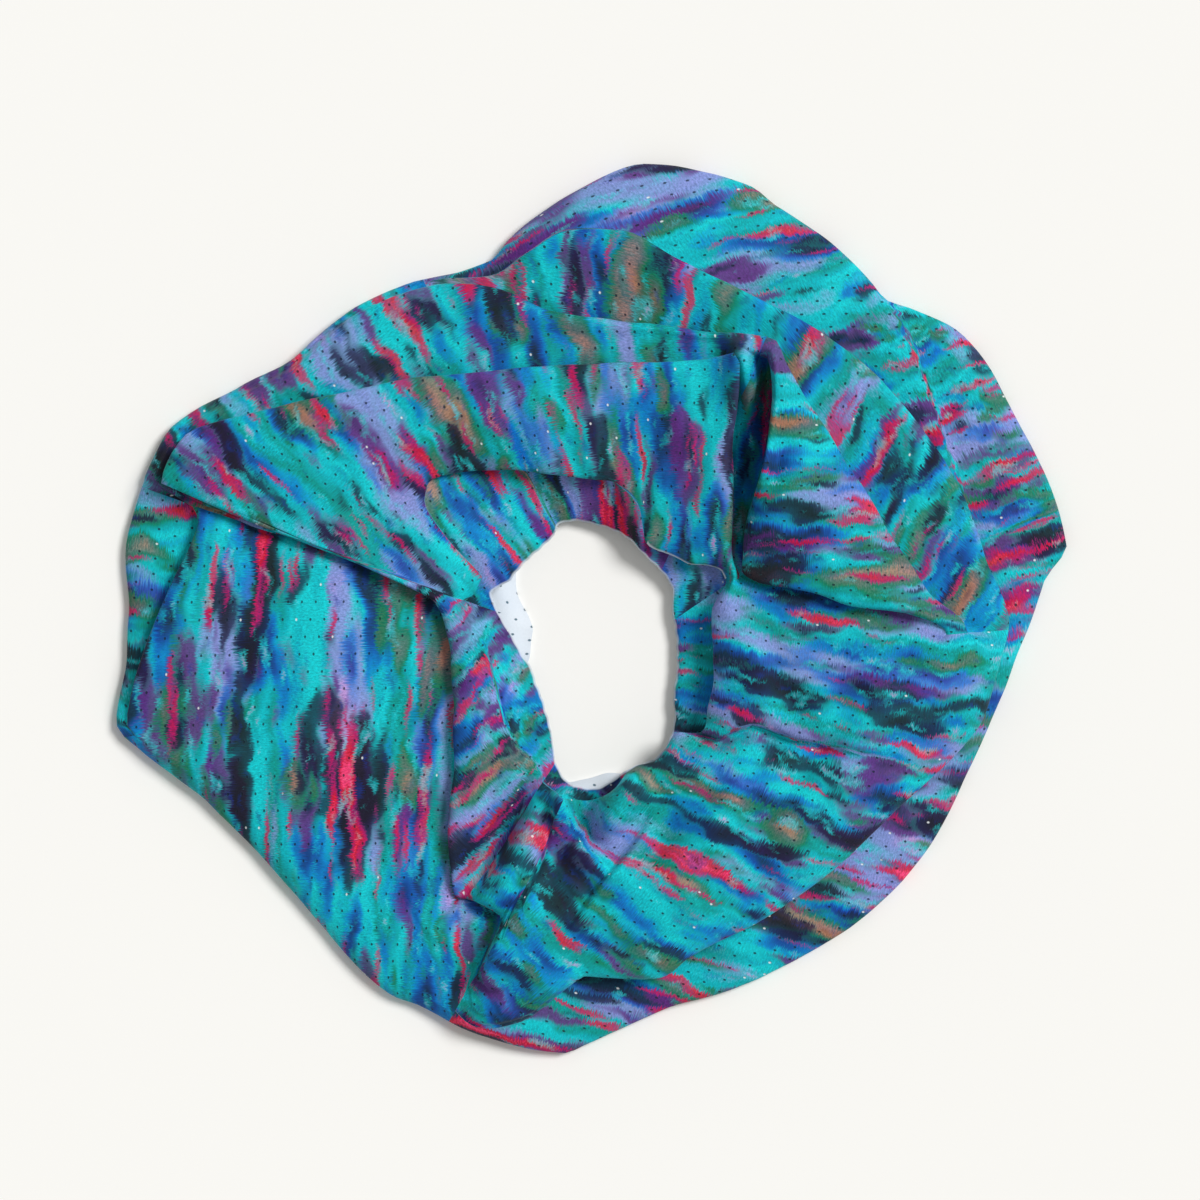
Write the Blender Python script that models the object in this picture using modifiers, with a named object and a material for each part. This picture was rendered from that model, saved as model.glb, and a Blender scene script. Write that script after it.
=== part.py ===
"""Cooling neck ring: a thin knitted tube twisted on itself and laid down as a ring."""
import math

import bmesh
import bpy
import numpy as np

# Driving sizes, metres
RING_REACH = 0.150
RING_LOFT = 0.030
CLOTH_WALL = 0.001
NOSE_RADIUS = 0.0016
RIM_ROUND = 0.0032

# Sections around the ring, degrees counter-clockwise from +X, closer where folds turn
SECTION_ANGLES = (
    0, 5, 10, 15, 20, 26, 31, 35, 39, 44, 49, 54, 59, 63, 66, 69, 74, 80, 86, 92, 98, 104, 108, 113,
    119, 125, 131, 137, 143, 148, 153, 157, 159.3, 160.6, 162.5, 166, 171, 177, 183, 188, 192, 198,
    205, 212, 219, 226, 232, 237, 240, 243, 245.5, 247.5, 251, 256, 261, 266, 271, 277, 283, 290,
    297, 304, 311, 318, 326, 334, 342, 348, 354,
)

# Outer rim: angle, reach as a share of RING_REACH, top height as a share of RING_LOFT
RIM = (
    (0, 0.790, 0.20), (5, 0.824, 0.20), (10, 0.860, 0.20), (14, 0.920, 0.20), (20, 0.924, 0.20),
    (30, 0.922, 0.20), (42, 0.938, 0.20), (50, 0.900, 0.22), (54, 0.890, 0.24), (60, 0.916, 0.26),
    (70, 0.950, 0.26), (75, 0.976, 0.26), (87, 0.982, 0.26), (95, 0.936, 0.26), (105, 0.860, 0.22),
    (108, 0.830, 0.18), (112, 0.828, 0.16), (120, 0.856, 0.16), (128, 0.874, 0.18),
    (137, 0.880, 0.20), (145, 0.930, 0.20), (150, 0.980, 0.18), (154, 1.008, 0.18),
    (163, 1.014, 0.17), (167, 1.014, 0.17), (175, 0.986, 0.17), (180, 0.986, 0.17),
    (188, 1.016, 0.17), (191, 0.980, 0.18), (195, 0.924, 0.20), (200, 0.870, 0.20),
    (210, 0.820, 0.20), (220, 0.804, 0.20), (237, 0.820, 0.20), (244, 0.806, 0.20),
    (255, 0.808, 0.24), (262, 0.804, 0.20), (265, 0.782, 0.18), (270, 0.748, 0.18),
    (280, 0.706, 0.18), (300, 0.702, 0.18), (320, 0.720, 0.18), (340, 0.732, 0.18),
    (350, 0.750, 0.18), (355, 0.770, 0.20),
)

# Upper hem: angle, reach, height
UPPER_HEM = (
    (0, 0.112, 0.17), (20, 0.118, 0.17), (40, 0.134, 0.17), (53, 0.170, 0.18), (70, 0.194, 0.22),
    (80, 0.214, 0.32), (85, 0.232, 0.40), (100, 0.264, 0.42), (110, 0.286, 0.40), (116, 0.290, 0.36),
    (119, 0.274, 0.30), (130, 0.266, 0.27), (145, 0.266, 0.26), (154, 0.286, 0.24),
    (160, 0.262, 0.22), (170, 0.220, 0.20), (180, 0.196, 0.19), (190, 0.178, 0.19),
    (205, 0.177, 0.19), (220, 0.190, 0.19), (230, 0.212, 0.19), (240, 0.254, 0.18),
    (249, 0.288, 0.17), (258, 0.290, 0.17), (275, 0.245, 0.17), (290, 0.215, 0.17),
    (310, 0.168, 0.17), (320, 0.138, 0.17), (330, 0.124, 0.17), (345, 0.116, 0.17),
)

# Fold rows: angle, reach of the crest, tuck beneath it (below zero where it opens to a slope),
# height of the cloth below and above the crest, crown of the cloth halfway to the next fold.
# Reaches and tucks are shares of RING_REACH, heights and crowns shares of RING_LOFT.
INNER_FOLD = (
    (0, 0.182, 0.060, 0.22, 0.50, 0.06), (12, 0.184, 0.050, 0.22, 0.50, 0.05),
    (20, 0.190, 0.050, 0.22, 0.50, 0.04), (27, 0.202, 0.045, 0.22, 0.50, 0.02),
    (31, 0.226, 0.010, 0.20, 0.46, 0.00), (35, 0.256, 0.004, 0.19, 0.42, 0.00),
    (40, 0.260, 0.010, 0.19, 0.42, 0.01), (45, 0.250, 0.024, 0.20, 0.44, 0.02),
    (55, 0.224, 0.030, 0.23, 0.44, 0.05), (70, 0.221, 0.020, 0.25, 0.44, 0.10),
    (80, 0.228, -0.006, 0.33, 0.44, 0.12), (86, 0.262, -0.020, 0.42, 0.44, 0.12),
    (100, 0.300, -0.020, 0.43, 0.45, 0.10), (116, 0.325, -0.018, 0.38, 0.42, 0.09),
    (130, 0.310, -0.020, 0.29, 0.31, 0.12), (143, 0.292, -0.016, 0.27, 0.33, 0.12),
    (150, 0.300, -0.004, 0.24, 0.38, 0.12), (157, 0.316, 0.015, 0.23, 0.42, 0.09),
    (160.6, 0.332, 0.010, 0.23, 0.42, 0.02), (163, 0.300, -0.016, 0.24, 0.40, 0.00),
    (180, 0.250, -0.020, 0.24, 0.36, 0.03), (205, 0.235, -0.020, 0.25, 0.34, 0.05),
    (225, 0.270, -0.020, 0.25, 0.32, 0.05), (238, 0.300, -0.015, 0.24, 0.30, 0.04),
    (244, 0.315, -0.010, 0.22, 0.30, 0.02), (248, 0.325, 0.010, 0.20, 0.48, 0.10),
    (254, 0.345, 0.030, 0.20, 0.54, 0.14), (258, 0.340, 0.030, 0.20, 0.54, 0.14),
    (263, 0.306, 0.030, 0.20, 0.52, 0.12), (268, 0.268, 0.030, 0.20, 0.50, 0.10),
    (274, 0.232, 0.040, 0.20, 0.48, 0.06), (281, 0.222, 0.040, 0.20, 0.48, 0.04),
    (289, 0.222, 0.040, 0.20, 0.48, 0.06), (297, 0.206, 0.050, 0.20, 0.50, 0.08),
    (306, 0.190, 0.060, 0.20, 0.50, 0.10), (318, 0.220, 0.060, 0.21, 0.50, 0.12),
    (330, 0.200, 0.060, 0.22, 0.50, 0.12), (345, 0.190, 0.060, 0.22, 0.50, 0.08),
)
CUFF_FOLD = (
    (0, 0.320, -0.020, 0.60, 0.58, 0.04), (12, 0.300, -0.020, 0.56, 0.54, 0.02),
    (22, 0.262, -0.020, 0.52, 0.52, 0.00), (30, 0.262, -0.012, 0.46, 0.50, 0.00),
    (35, 0.279, -0.004, 0.38, 0.52, -0.02), (40, 0.290, 0.004, 0.30, 0.54, -0.02),
    (46, 0.316, 0.010, 0.28, 0.56, -0.02), (52, 0.360, 0.014, 0.28, 0.62, -0.02),
    (58, 0.420, 0.018, 0.32, 0.68, -0.02), (62, 0.470, 0.018, 0.38, 0.74, -0.02),
    (66, 0.580, 0.016, 0.44, 0.80, 0.00), (68.5, 0.636, 0.020, 0.50, 0.78, 0.00),
    (71, 0.624, 0.030, 0.50, 0.76, 0.00), (75, 0.606, 0.040, 0.48, 0.72, 0.00),
    (85, 0.584, 0.050, 0.44, 0.70, 0.00), (94, 0.580, 0.050, 0.42, 0.68, 0.01),
    (108, 0.600, 0.050, 0.40, 0.66, 0.02), (118, 0.634, 0.050, 0.38, 0.64, 0.02),
    (126, 0.678, 0.050, 0.36, 0.62, 0.01), (135, 0.738, 0.045, 0.34, 0.58, 0.01),
    (142, 0.792, 0.035, 0.32, 0.54, 0.00), (148, 0.858, 0.025, 0.30, 0.50, 0.00),
    (153, 0.920, 0.020, 0.28, 0.47, 0.00), (157, 0.930, 0.030, 0.26, 0.47, 0.00),
    (159.3, 0.860, 0.070, 0.26, 0.47, 0.00), (160.6, 0.560, 0.120, 0.25, 0.47, 0.00),
    (162.5, 0.400, 0.044, 0.24, 0.46, 0.00), (166, 0.370, 0.030, 0.23, 0.44, 0.01),
    (171, 0.354, 0.026, 0.23, 0.43, 0.02), (180, 0.340, 0.026, 0.23, 0.42, 0.02),
    (196, 0.346, 0.030, 0.23, 0.43, 0.03), (205, 0.370, 0.035, 0.23, 0.44, 0.03),
    (214, 0.402, 0.035, 0.23, 0.44, 0.03), (225, 0.486, 0.035, 0.23, 0.45, 0.02),
    (232, 0.546, 0.030, 0.23, 0.44, 0.01), (236.5, 0.572, 0.030, 0.23, 0.42, 0.01),
    (240, 0.470, 0.020, 0.22, 0.42, 0.00), (243, 0.375, 0.012, 0.22, 0.42, 0.00),
    (245.5, 0.385, 0.020, 0.22, 0.52, 0.00), (247.5, 0.700, 0.040, 0.24, 0.54, 0.00),
    (251, 0.730, -0.010, 0.40, 0.52, 0.00), (256, 0.640, -0.020, 0.54, 0.56, 0.00),
    (264, 0.500, -0.020, 0.60, 0.62, 0.03), (280, 0.380, -0.020, 0.58, 0.58, 0.05),
    (300, 0.340, -0.020, 0.62, 0.60, 0.06), (330, 0.340, -0.020, 0.66, 0.64, 0.06),
)
FLAP_FOLD = (
    (0, 0.600, -0.020, 0.62, 0.62, 0.00), (4, 0.650, -0.006, 0.58, 0.62, 0.00),
    (8.5, 0.570, 0.020, 0.52, 0.72, 0.02), (12.4, 0.464, 0.030, 0.50, 0.74, 0.05),
    (18, 0.400, 0.035, 0.49, 0.74, 0.07), (23.6, 0.344, 0.035, 0.46, 0.70, 0.08),
    (29, 0.303, 0.025, 0.42, 0.64, 0.09), (34, 0.292, 0.015, 0.36, 0.60, 0.10),
    (40, 0.316, 0.012, 0.30, 0.62, 0.11), (44.5, 0.342, 0.014, 0.28, 0.66, 0.10),
    (48, 0.380, 0.016, 0.28, 0.70, 0.10), (52, 0.446, 0.018, 0.30, 0.74, 0.08),
    (55.8, 0.516, 0.018, 0.34, 0.78, 0.06), (60.5, 0.615, 0.010, 0.40, 0.82, 0.02),
    (63.5, 0.660, -0.004, 0.48, 0.80, 0.00), (66, 0.652, -0.006, 0.46, 0.60, 0.00),
    (68.5, 0.656, -0.006, 0.52, 0.54, 0.00), (75, 0.632, -0.010, 0.48, 0.48, 0.00),
    (90, 0.618, -0.015, 0.44, 0.44, 0.00), (108, 0.660, -0.015, 0.42, 0.42, 0.02),
    (118, 0.720, -0.020, 0.40, 0.40, 0.01), (126, 0.752, -0.015, 0.37, 0.36, 0.00),
    (135, 0.780, -0.012, 0.34, 0.33, 0.00), (142, 0.820, -0.008, 0.32, 0.32, 0.00),
    (148, 0.886, -0.006, 0.30, 0.30, 0.00), (153, 0.944, -0.006, 0.28, 0.27, 0.00),
    (157, 0.950, -0.006, 0.26, 0.25, 0.00), (159.3, 0.896, -0.010, 0.26, 0.25, 0.00),
    (160.6, 0.640, -0.020, 0.25, 0.26, 0.01), (162.5, 0.520, -0.020, 0.26, 0.28, 0.02),
    (171, 0.480, -0.020, 0.26, 0.28, 0.03), (205, 0.480, -0.020, 0.26, 0.28, 0.03),
    (225, 0.560, -0.020, 0.25, 0.27, 0.03), (236.5, 0.640, -0.020, 0.24, 0.26, 0.02),
    (240, 0.600, -0.020, 0.24, 0.26, 0.02), (243, 0.560, -0.020, 0.24, 0.26, 0.02),
    (245.5, 0.540, -0.020, 0.24, 0.26, 0.01), (247.5, 0.725, -0.008, 0.25, 0.26, 0.00),
    (251, 0.752, -0.008, 0.38, 0.38, 0.00), (256, 0.690, -0.020, 0.52, 0.52, 0.00),
    (264, 0.560, -0.012, 0.62, 0.62, 0.00), (280, 0.480, -0.020, 0.64, 0.64, 0.00),
    (300, 0.450, -0.020, 0.68, 0.68, 0.00), (330, 0.470, -0.020, 0.70, 0.70, 0.00),
    (348, 0.540, -0.020, 0.68, 0.68, 0.00),
)
BAND_FOLD = (
    (0, 0.690, -0.012, 0.52, 0.54, 0.00), (5, 0.684, 0.004, 0.46, 0.60, 0.00),
    (11, 0.626, 0.025, 0.43, 0.64, 0.01), (16, 0.606, 0.035, 0.42, 0.65, 0.02),
    (25, 0.584, 0.040, 0.42, 0.66, 0.02), (39, 0.584, 0.040, 0.43, 0.67, 0.02),
    (47, 0.602, 0.035, 0.44, 0.70, 0.02), (55, 0.632, 0.030, 0.46, 0.74, 0.01),
    (60, 0.664, 0.022, 0.46, 0.78, 0.00), (63.5, 0.694, 0.008, 0.42, 0.76, 0.00),
    (66, 0.688, 0.010, 0.36, 0.58, 0.00), (70, 0.678, 0.020, 0.32, 0.52, 0.02),
    (77, 0.662, 0.030, 0.30, 0.50, 0.05), (87, 0.662, 0.030, 0.28, 0.48, 0.05),
    (95, 0.676, 0.030, 0.28, 0.47, 0.04), (102, 0.704, 0.030, 0.27, 0.46, 0.02),
    (108, 0.764, 0.025, 0.23, 0.42, 0.00), (117, 0.808, 0.022, 0.18, 0.38, 0.00),
    (124, 0.830, 0.010, 0.18, 0.37, 0.00), (130, 0.832, -0.004, 0.20, 0.34, 0.00),
    (137, 0.832, -0.010, 0.22, 0.28, 0.00), (145, 0.878, -0.010, 0.22, 0.26, 0.00),
    (153, 0.962, -0.006, 0.20, 0.23, 0.00), (157, 0.968, -0.006, 0.20, 0.22, 0.00),
    (159.3, 0.930, -0.010, 0.22, 0.23, 0.00), (160.6, 0.770, -0.020, 0.27, 0.28, 0.01),
    (162.5, 0.700, -0.020, 0.33, 0.33, 0.01), (171, 0.680, -0.020, 0.34, 0.34, 0.01),
    (205, 0.620, -0.020, 0.28, 0.28, 0.02), (225, 0.660, -0.020, 0.27, 0.27, 0.01),
    (240, 0.700, -0.020, 0.26, 0.26, 0.00), (245.5, 0.690, -0.020, 0.25, 0.26, 0.00),
    (247.5, 0.752, -0.006, 0.25, 0.26, 0.00), (251, 0.770, -0.006, 0.34, 0.36, 0.00),
    (256, 0.730, -0.010, 0.46, 0.48, 0.00), (260, 0.650, -0.015, 0.54, 0.56, 0.00),
    (264, 0.590, -0.015, 0.56, 0.60, 0.00), (280, 0.560, -0.020, 0.56, 0.60, 0.00),
    (300, 0.530, -0.020, 0.60, 0.64, 0.00), (330, 0.560, -0.020, 0.60, 0.64, 0.00),
    (342, 0.620, -0.020, 0.58, 0.62, 0.00), (352, 0.680, -0.015, 0.54, 0.58, 0.00),
)
PANEL_FOLD = (
    (0, 0.756, 0.030, 0.20, 0.41, 0.00), (5, 0.774, 0.035, 0.21, 0.41, 0.01),
    (15, 0.752, 0.040, 0.22, 0.42, 0.02), (30, 0.750, 0.040, 0.22, 0.42, 0.02),
    (50, 0.754, 0.035, 0.24, 0.43, 0.03), (65, 0.758, 0.025, 0.28, 0.46, 0.05),
    (75, 0.772, 0.018, 0.34, 0.48, 0.05), (82, 0.794, 0.010, 0.38, 0.48, 0.04),
    (90, 0.842, -0.004, 0.36, 0.42, 0.03), (97, 0.850, -0.020, 0.32, 0.36, 0.01),
    (103, 0.820, -0.020, 0.28, 0.30, 0.00), (108, 0.797, -0.006, 0.19, 0.20, 0.00),
    (117, 0.826, -0.006, 0.16, 0.17, 0.00), (124, 0.846, -0.006, 0.16, 0.17, 0.00),
    (130, 0.850, -0.006, 0.17, 0.18, 0.00), (137, 0.854, -0.006, 0.18, 0.20, 0.00),
    (145, 0.904, -0.006, 0.20, 0.21, 0.00), (150, 0.952, -0.006, 0.19, 0.20, 0.00),
    (154, 0.984, -0.006, 0.17, 0.19, 0.00), (157.5, 0.984, -0.006, 0.17, 0.19, 0.00),
    (159.3, 0.964, -0.010, 0.18, 0.20, 0.00), (160.6, 0.900, -0.006, 0.17, 0.26, 0.00),
    (162.5, 0.880, 0.014, 0.17, 0.36, 0.00), (165, 0.882, 0.030, 0.17, 0.37, 0.00),
    (170, 0.902, 0.030, 0.17, 0.37, 0.00), (175, 0.924, 0.028, 0.17, 0.36, 0.00),
    (180, 0.952, 0.020, 0.17, 0.34, 0.00), (185, 0.978, 0.004, 0.17, 0.30, 0.00),
    (188, 0.990, -0.003, 0.17, 0.22, 0.00), (191, 0.950, -0.008, 0.21, 0.24, 0.00),
    (195, 0.880, -0.010, 0.24, 0.26, 0.00), (202, 0.810, -0.010, 0.24, 0.26, 0.00),
    (210, 0.770, -0.010, 0.23, 0.25, 0.00), (220, 0.756, -0.010, 0.23, 0.25, 0.00),
    (240, 0.770, -0.010, 0.23, 0.25, 0.00), (246, 0.772, -0.010, 0.23, 0.25, 0.00),
    (251, 0.785, -0.004, 0.28, 0.30, 0.00), (256, 0.764, -0.010, 0.34, 0.38, 0.00),
    (260, 0.690, -0.008, 0.32, 0.48, 0.00), (264, 0.630, 0.016, 0.26, 0.54, 0.00),
    (268, 0.640, 0.030, 0.22, 0.52, 0.00), (277, 0.644, 0.035, 0.20, 0.50, 0.00),
    (283, 0.614, 0.040, 0.20, 0.50, 0.01), (290, 0.600, 0.040, 0.21, 0.50, 0.02),
    (308, 0.594, 0.040, 0.21, 0.50, 0.02), (320, 0.604, 0.040, 0.21, 0.50, 0.02),
    (330, 0.624, 0.040, 0.21, 0.49, 0.01), (337, 0.656, 0.035, 0.20, 0.47, 0.01),
    (345, 0.704, 0.030, 0.18, 0.42, 0.00), (350, 0.730, 0.024, 0.18, 0.40, 0.00),
)

# Lower hem, on the flat layer beneath: angle, reach
LOWER_HEM = (
    (0, 0.220), (40, 0.260), (80, 0.300), (110, 0.310), (130, 0.300), (142, 0.266), (150, 0.238),
    (157, 0.200), (165, 0.182), (178, 0.180), (188, 0.190), (205, 0.230), (225, 0.270),
    (245, 0.276), (255, 0.256), (265, 0.236), (280, 0.240), (310, 0.230), (335, 0.220),
)

# Turns of the stations away from straight rays: angle, spread in degrees, reach where the turn
# starts, turn in degrees at full reach
SWEEPS = (
    (247, 10, 0.40, -5.0),
    (64, 9, 0.30, 1.5),
)

# Dents and ridges pressed in the pile: angle, reach of the middle, heading of its long side,
# half length, half width, share of the local height (below zero for a dent)
DENTS = (
    (46, 0.330, 62, 0.22, 0.022, -0.18),
    (232, 0.420, 236, 0.16, 0.035, -0.30),
    (237, 0.330, 250, 0.10, 0.030, 0.16),
    (316, 0.280, 10, 0.16, 0.030, -0.12),
    (276, 0.560, 340, 0.20, 0.040, -0.06),
    (318, 0.480, 300, 0.12, 0.060, 0.05),
    (352, 0.360, 15, 0.18, 0.030, -0.07),
    (24, 0.420, 172, 0.20, 0.020, -0.06),
    (126, 0.440, 142, 0.24, 0.030, -0.08),
    (112, 0.330, 168, 0.18, 0.030, -0.10),
    (103, 0.800, 178, 0.30, 0.030, -0.10),
    (162, 0.780, 105, 0.22, 0.030, -0.06),
    (200, 0.620, 290, 0.30, 0.050, 0.06),
)


def smooth_table(rows, angle):
    """Read a table of rows keyed by angle with a closed curve that never overshoots a row."""
    table = np.array(rows, dtype=float)
    keys = table[:, 0]
    last = len(keys) - 1
    place = angle % 360.0
    low = int(np.searchsorted(keys, place, side="right")) - 1

    def row(index):
        turns, spot = divmod(index, last + 1)
        return keys[spot] + 360.0 * turns, table[spot, 1:]

    (k0, v0), (k1, v1), (k2, v2), (k3, v3) = (row(low + step) for step in (-1, 0, 1, 2))
    if place < k1:
        place += 360.0
    span = k2 - k1
    share = (place - k1) / span
    chord = (v2 - v1) / span
    before = (v1 - v0) / (k1 - k0)
    after = (v3 - v2) / (k3 - k2)
    slope1 = limited_slope(before, chord)
    slope2 = limited_slope(chord, after)
    h00 = 2 * share**3 - 3 * share**2 + 1
    h10 = share**3 - 2 * share**2 + share
    h01 = 3 * share**2 - 2 * share**3
    h11 = share**3 - share**2
    return h00 * v1 + h10 * span * slope1 + h01 * v2 + h11 * span * slope2


def limited_slope(first, second):
    """Harmonic mean of two slopes, none where they differ in sign."""
    same = first * second > 0
    total = np.where(same, first + second, 1.0)
    return np.where(same, 2.0 * first * second / total, 0.0)


def strip(points, start, end, steps, crown):
    """Add the cloth between two folds, arched by its crown."""
    for step in range(1, steps + 1):
        share = step / (steps + 1)
        reach = start[0] + (end[0] - start[0]) * share
        height = start[1] + (end[1] - start[1]) * share + crown * math.sin(math.pi * share)
        points.append((reach, height))


def fold_points(crest, depth, low, high, nose, facing):
    """Five points of one fold: turned under itself, a plain step, or opened to a slope."""
    side = 1.0 if facing == "inward" else -1.0
    shut = max(0.0, min(1.0, 0.5 * depth / nose))
    opened = max(0.0, min(1.0, -depth / nose))
    back = max(0.0, depth)
    width = max(nose, -depth)
    turned = (
        (back, 0.0), (back, 0.33 + 0.17 * shut), (nose * shut, 0.62 - 0.12 * shut),
        (0.0, 0.85 - 0.10 * shut), (nose, 1.0),
    )
    slope = ((-1.0, 0.0), (-0.5, 0.16), (0.0, 0.5), (0.5, 0.84), (1.0, 1.0))
    points = []
    for (out, level), (share, rise) in zip(turned, slope):
        reach = crest + side * (out + (share * width - out) * opened)
        height = low + (high - low) * (level + (rise - level) * opened)
        points.append((reach, height))
    return points if facing == "inward" else points[::-1]


def section_points(angle):
    """Reach and height of the cloth along one section, from the upper hem to the lower hem."""
    hem_reach, hem_height = smooth_table(UPPER_HEM, angle)
    points = [(hem_reach * RING_REACH, hem_height * RING_LOFT)]
    crown = 0.0
    folds = (
        (INNER_FOLD, "inward", 1), (CUFF_FOLD, "outward", 3), (FLAP_FOLD, "inward", 1),
        (BAND_FOLD, "outward", 2), (PANEL_FOLD, "outward", 1),
    )
    values = [(hem_reach,)]
    values.extend(smooth_table(rows, angle) for rows, facing, steps in folds)
    rim_reach, rim_height = smooth_table(RIM, angle)
    values.append((rim_reach,))
    for spot, (rows, facing, steps) in enumerate(folds):
        reach, tuck, lower, upper, next_crown = values[spot + 1]
        crest = reach * RING_REACH
        room = min(reach - values[spot][0], values[spot + 2][0] - reach) * RING_REACH
        nose = min(NOSE_RADIUS, 0.35 * room)
        depth = tuck * RING_REACH
        low = lower * RING_LOFT
        high = upper * RING_LOFT
        fold = fold_points(crest, depth, low, high, nose, facing)
        strip(points, points[-1], fold[0], steps, crown)
        points.extend(fold)
        crown = next_crown * RING_LOFT
    rim = rim_reach * RING_REACH
    bend = min(RIM_ROUND, 0.6 * (rim - values[-2][0] * RING_REACH))
    top = rim_height * RING_LOFT
    floor = 0.5 * CLOTH_WALL
    strip(points, points[-1], (rim - bend, top), 2, crown)
    points.append((rim - 0.45 * bend, floor + 0.80 * (top - floor)))
    points.append((rim, floor + 0.42 * (top - floor)))
    points.append((rim - 0.45 * RIM_ROUND, floor))
    lower_hem = smooth_table(LOWER_HEM, angle)[0] * RING_REACH
    strip(points, (rim - 0.45 * RIM_ROUND, floor), (lower_hem, floor), 2, 0.0)
    points.append((lower_hem, floor))
    return points


def swept_angle(angle, reach):
    """Turn a station a little where the folds lean away from a straight ray."""
    total = angle
    for middle, spread, start, turn in SWEEPS:
        away = (angle - middle + 180.0) % 360.0 - 180.0
        share = max(0.0, (reach / RING_REACH - start) / (1.0 - start))
        total += turn * math.exp(-((away / spread) ** 2)) * share
    return total


def press(x, y, height):
    """Scale the height over the flat layer by the dents and ridges near this place."""
    factor = 1.0
    for angle, reach, heading, half_length, half_width, amount in DENTS:
        ray = math.radians(angle)
        way = math.radians(heading)
        dx = x / RING_REACH - reach * math.cos(ray)
        dy = y / RING_REACH - reach * math.sin(ray)
        along = (dx * math.cos(way) + dy * math.sin(way)) / half_length
        across = (dy * math.cos(way) - dx * math.sin(way)) / half_width
        factor += amount * math.exp(-along * along - across * across)
    floor = 0.5 * CLOTH_WALL
    return floor + (height - floor) * factor


def cloth_sheet(name):
    """One ring of sections joined by quads, open at both hems."""
    body = bmesh.new()
    rings = []
    for angle in SECTION_ANGLES:
        ring = []
        for reach, height in section_points(angle):
            ray = math.radians(swept_angle(angle, reach))
            x = reach * math.cos(ray)
            y = reach * math.sin(ray)
            ring.append(body.verts.new((x, y, press(x, y, height))))
        rings.append(ring)
    for spot, ring in enumerate(rings):
        follow = rings[(spot + 1) % len(rings)]
        for step in range(len(ring) - 1):
            body.faces.new((ring[step], ring[step + 1], follow[step + 1], follow[step]))
    xs = [vert.co.x for vert in body.verts]
    ys = [vert.co.y for vert in body.verts]
    middle_x = 0.5 * (min(xs) + max(xs))
    middle_y = 0.5 * (min(ys) + max(ys))
    for vert in body.verts:
        vert.co.x -= middle_x
        vert.co.y -= middle_y
    bmesh.ops.recalc_face_normals(body, faces=body.faces)
    mesh = bpy.data.meshes.new(name)
    body.to_mesh(mesh)
    body.free()
    return mesh


def fabric():
    """Plain turquoise knit."""
    material = bpy.data.materials.new("turquoise_knit")
    material.use_nodes = True
    shader = material.node_tree.nodes["Principled BSDF"]
    shader.inputs["Base Color"].default_value = (0.03, 0.42, 0.50, 1.0)
    shader.inputs["Roughness"].default_value = 0.85
    return material


def build():
    for item in list(bpy.data.objects):
        bpy.data.objects.remove(item, do_unlink=True)
    home = bpy.data.collections.new("cooling_neck_ring")
    bpy.context.scene.collection.children.link(home)
    tube = bpy.data.objects.new("neck_tube", cloth_sheet("neck_tube"))
    tube.data.materials.append(fabric())
    home.objects.link(tube)
    wall = tube.modifiers.new("wall", "SOLIDIFY")
    wall.thickness = CLOTH_WALL
    wall.offset = 0.0
    wall.use_rim = True


build()
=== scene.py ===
"""Looks of the cooling neck ring: a printed, perforated knit tube, twisted and laid down."""
import math

import bmesh
import bpy
import numpy as np
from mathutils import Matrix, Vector, noise


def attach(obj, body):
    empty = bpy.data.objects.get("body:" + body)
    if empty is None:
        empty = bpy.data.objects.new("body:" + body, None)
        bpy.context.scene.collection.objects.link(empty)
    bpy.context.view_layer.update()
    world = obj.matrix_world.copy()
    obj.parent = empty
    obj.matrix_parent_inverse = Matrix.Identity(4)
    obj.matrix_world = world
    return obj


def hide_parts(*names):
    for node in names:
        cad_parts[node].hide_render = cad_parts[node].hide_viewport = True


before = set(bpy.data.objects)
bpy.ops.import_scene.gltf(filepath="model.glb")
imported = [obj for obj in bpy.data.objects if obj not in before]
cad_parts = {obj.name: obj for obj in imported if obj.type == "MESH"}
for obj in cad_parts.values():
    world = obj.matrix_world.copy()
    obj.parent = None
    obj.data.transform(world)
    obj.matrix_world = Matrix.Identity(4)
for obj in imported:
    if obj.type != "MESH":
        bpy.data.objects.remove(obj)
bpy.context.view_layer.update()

bl_info = {
    "name": "Cooling neck ring",
    "version": (1, 0, 0),
    "blender": (4, 5, 0),
    "location": "View3D > Sidebar > Neck ring",
    "description": "Builds the printed knit tube of a cooling neck ring and its studio stage",
    "category": "Object",
}

# The camera's frame: pixels and metres on its side, and the pixel of the ring's middle
FRAME_PIXELS = 1200
FRAME_SIDE = 0.360
MIDDLE_PIXEL = (592, 609)

# Sections around the ring, degrees counter-clockwise from +X, closer where folds turn
SECTION_ANGLES = (
    0, 5, 10, 15, 20, 26, 31, 35, 39, 44, 49, 54, 59, 63, 66, 69, 74, 80, 86, 92, 98, 104, 108, 113,
    119, 125, 131, 137, 143, 148, 153, 157, 159.3, 160.6, 162.5, 166, 171, 177, 183, 188, 192, 198,
    205, 212, 219, 226, 232, 237, 240, 243, 245.5, 247.4, 249, 251, 256, 261, 266, 271, 277, 283,
    290, 297, 304, 311, 318, 326, 334, 342, 348, 354,
)

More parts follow.
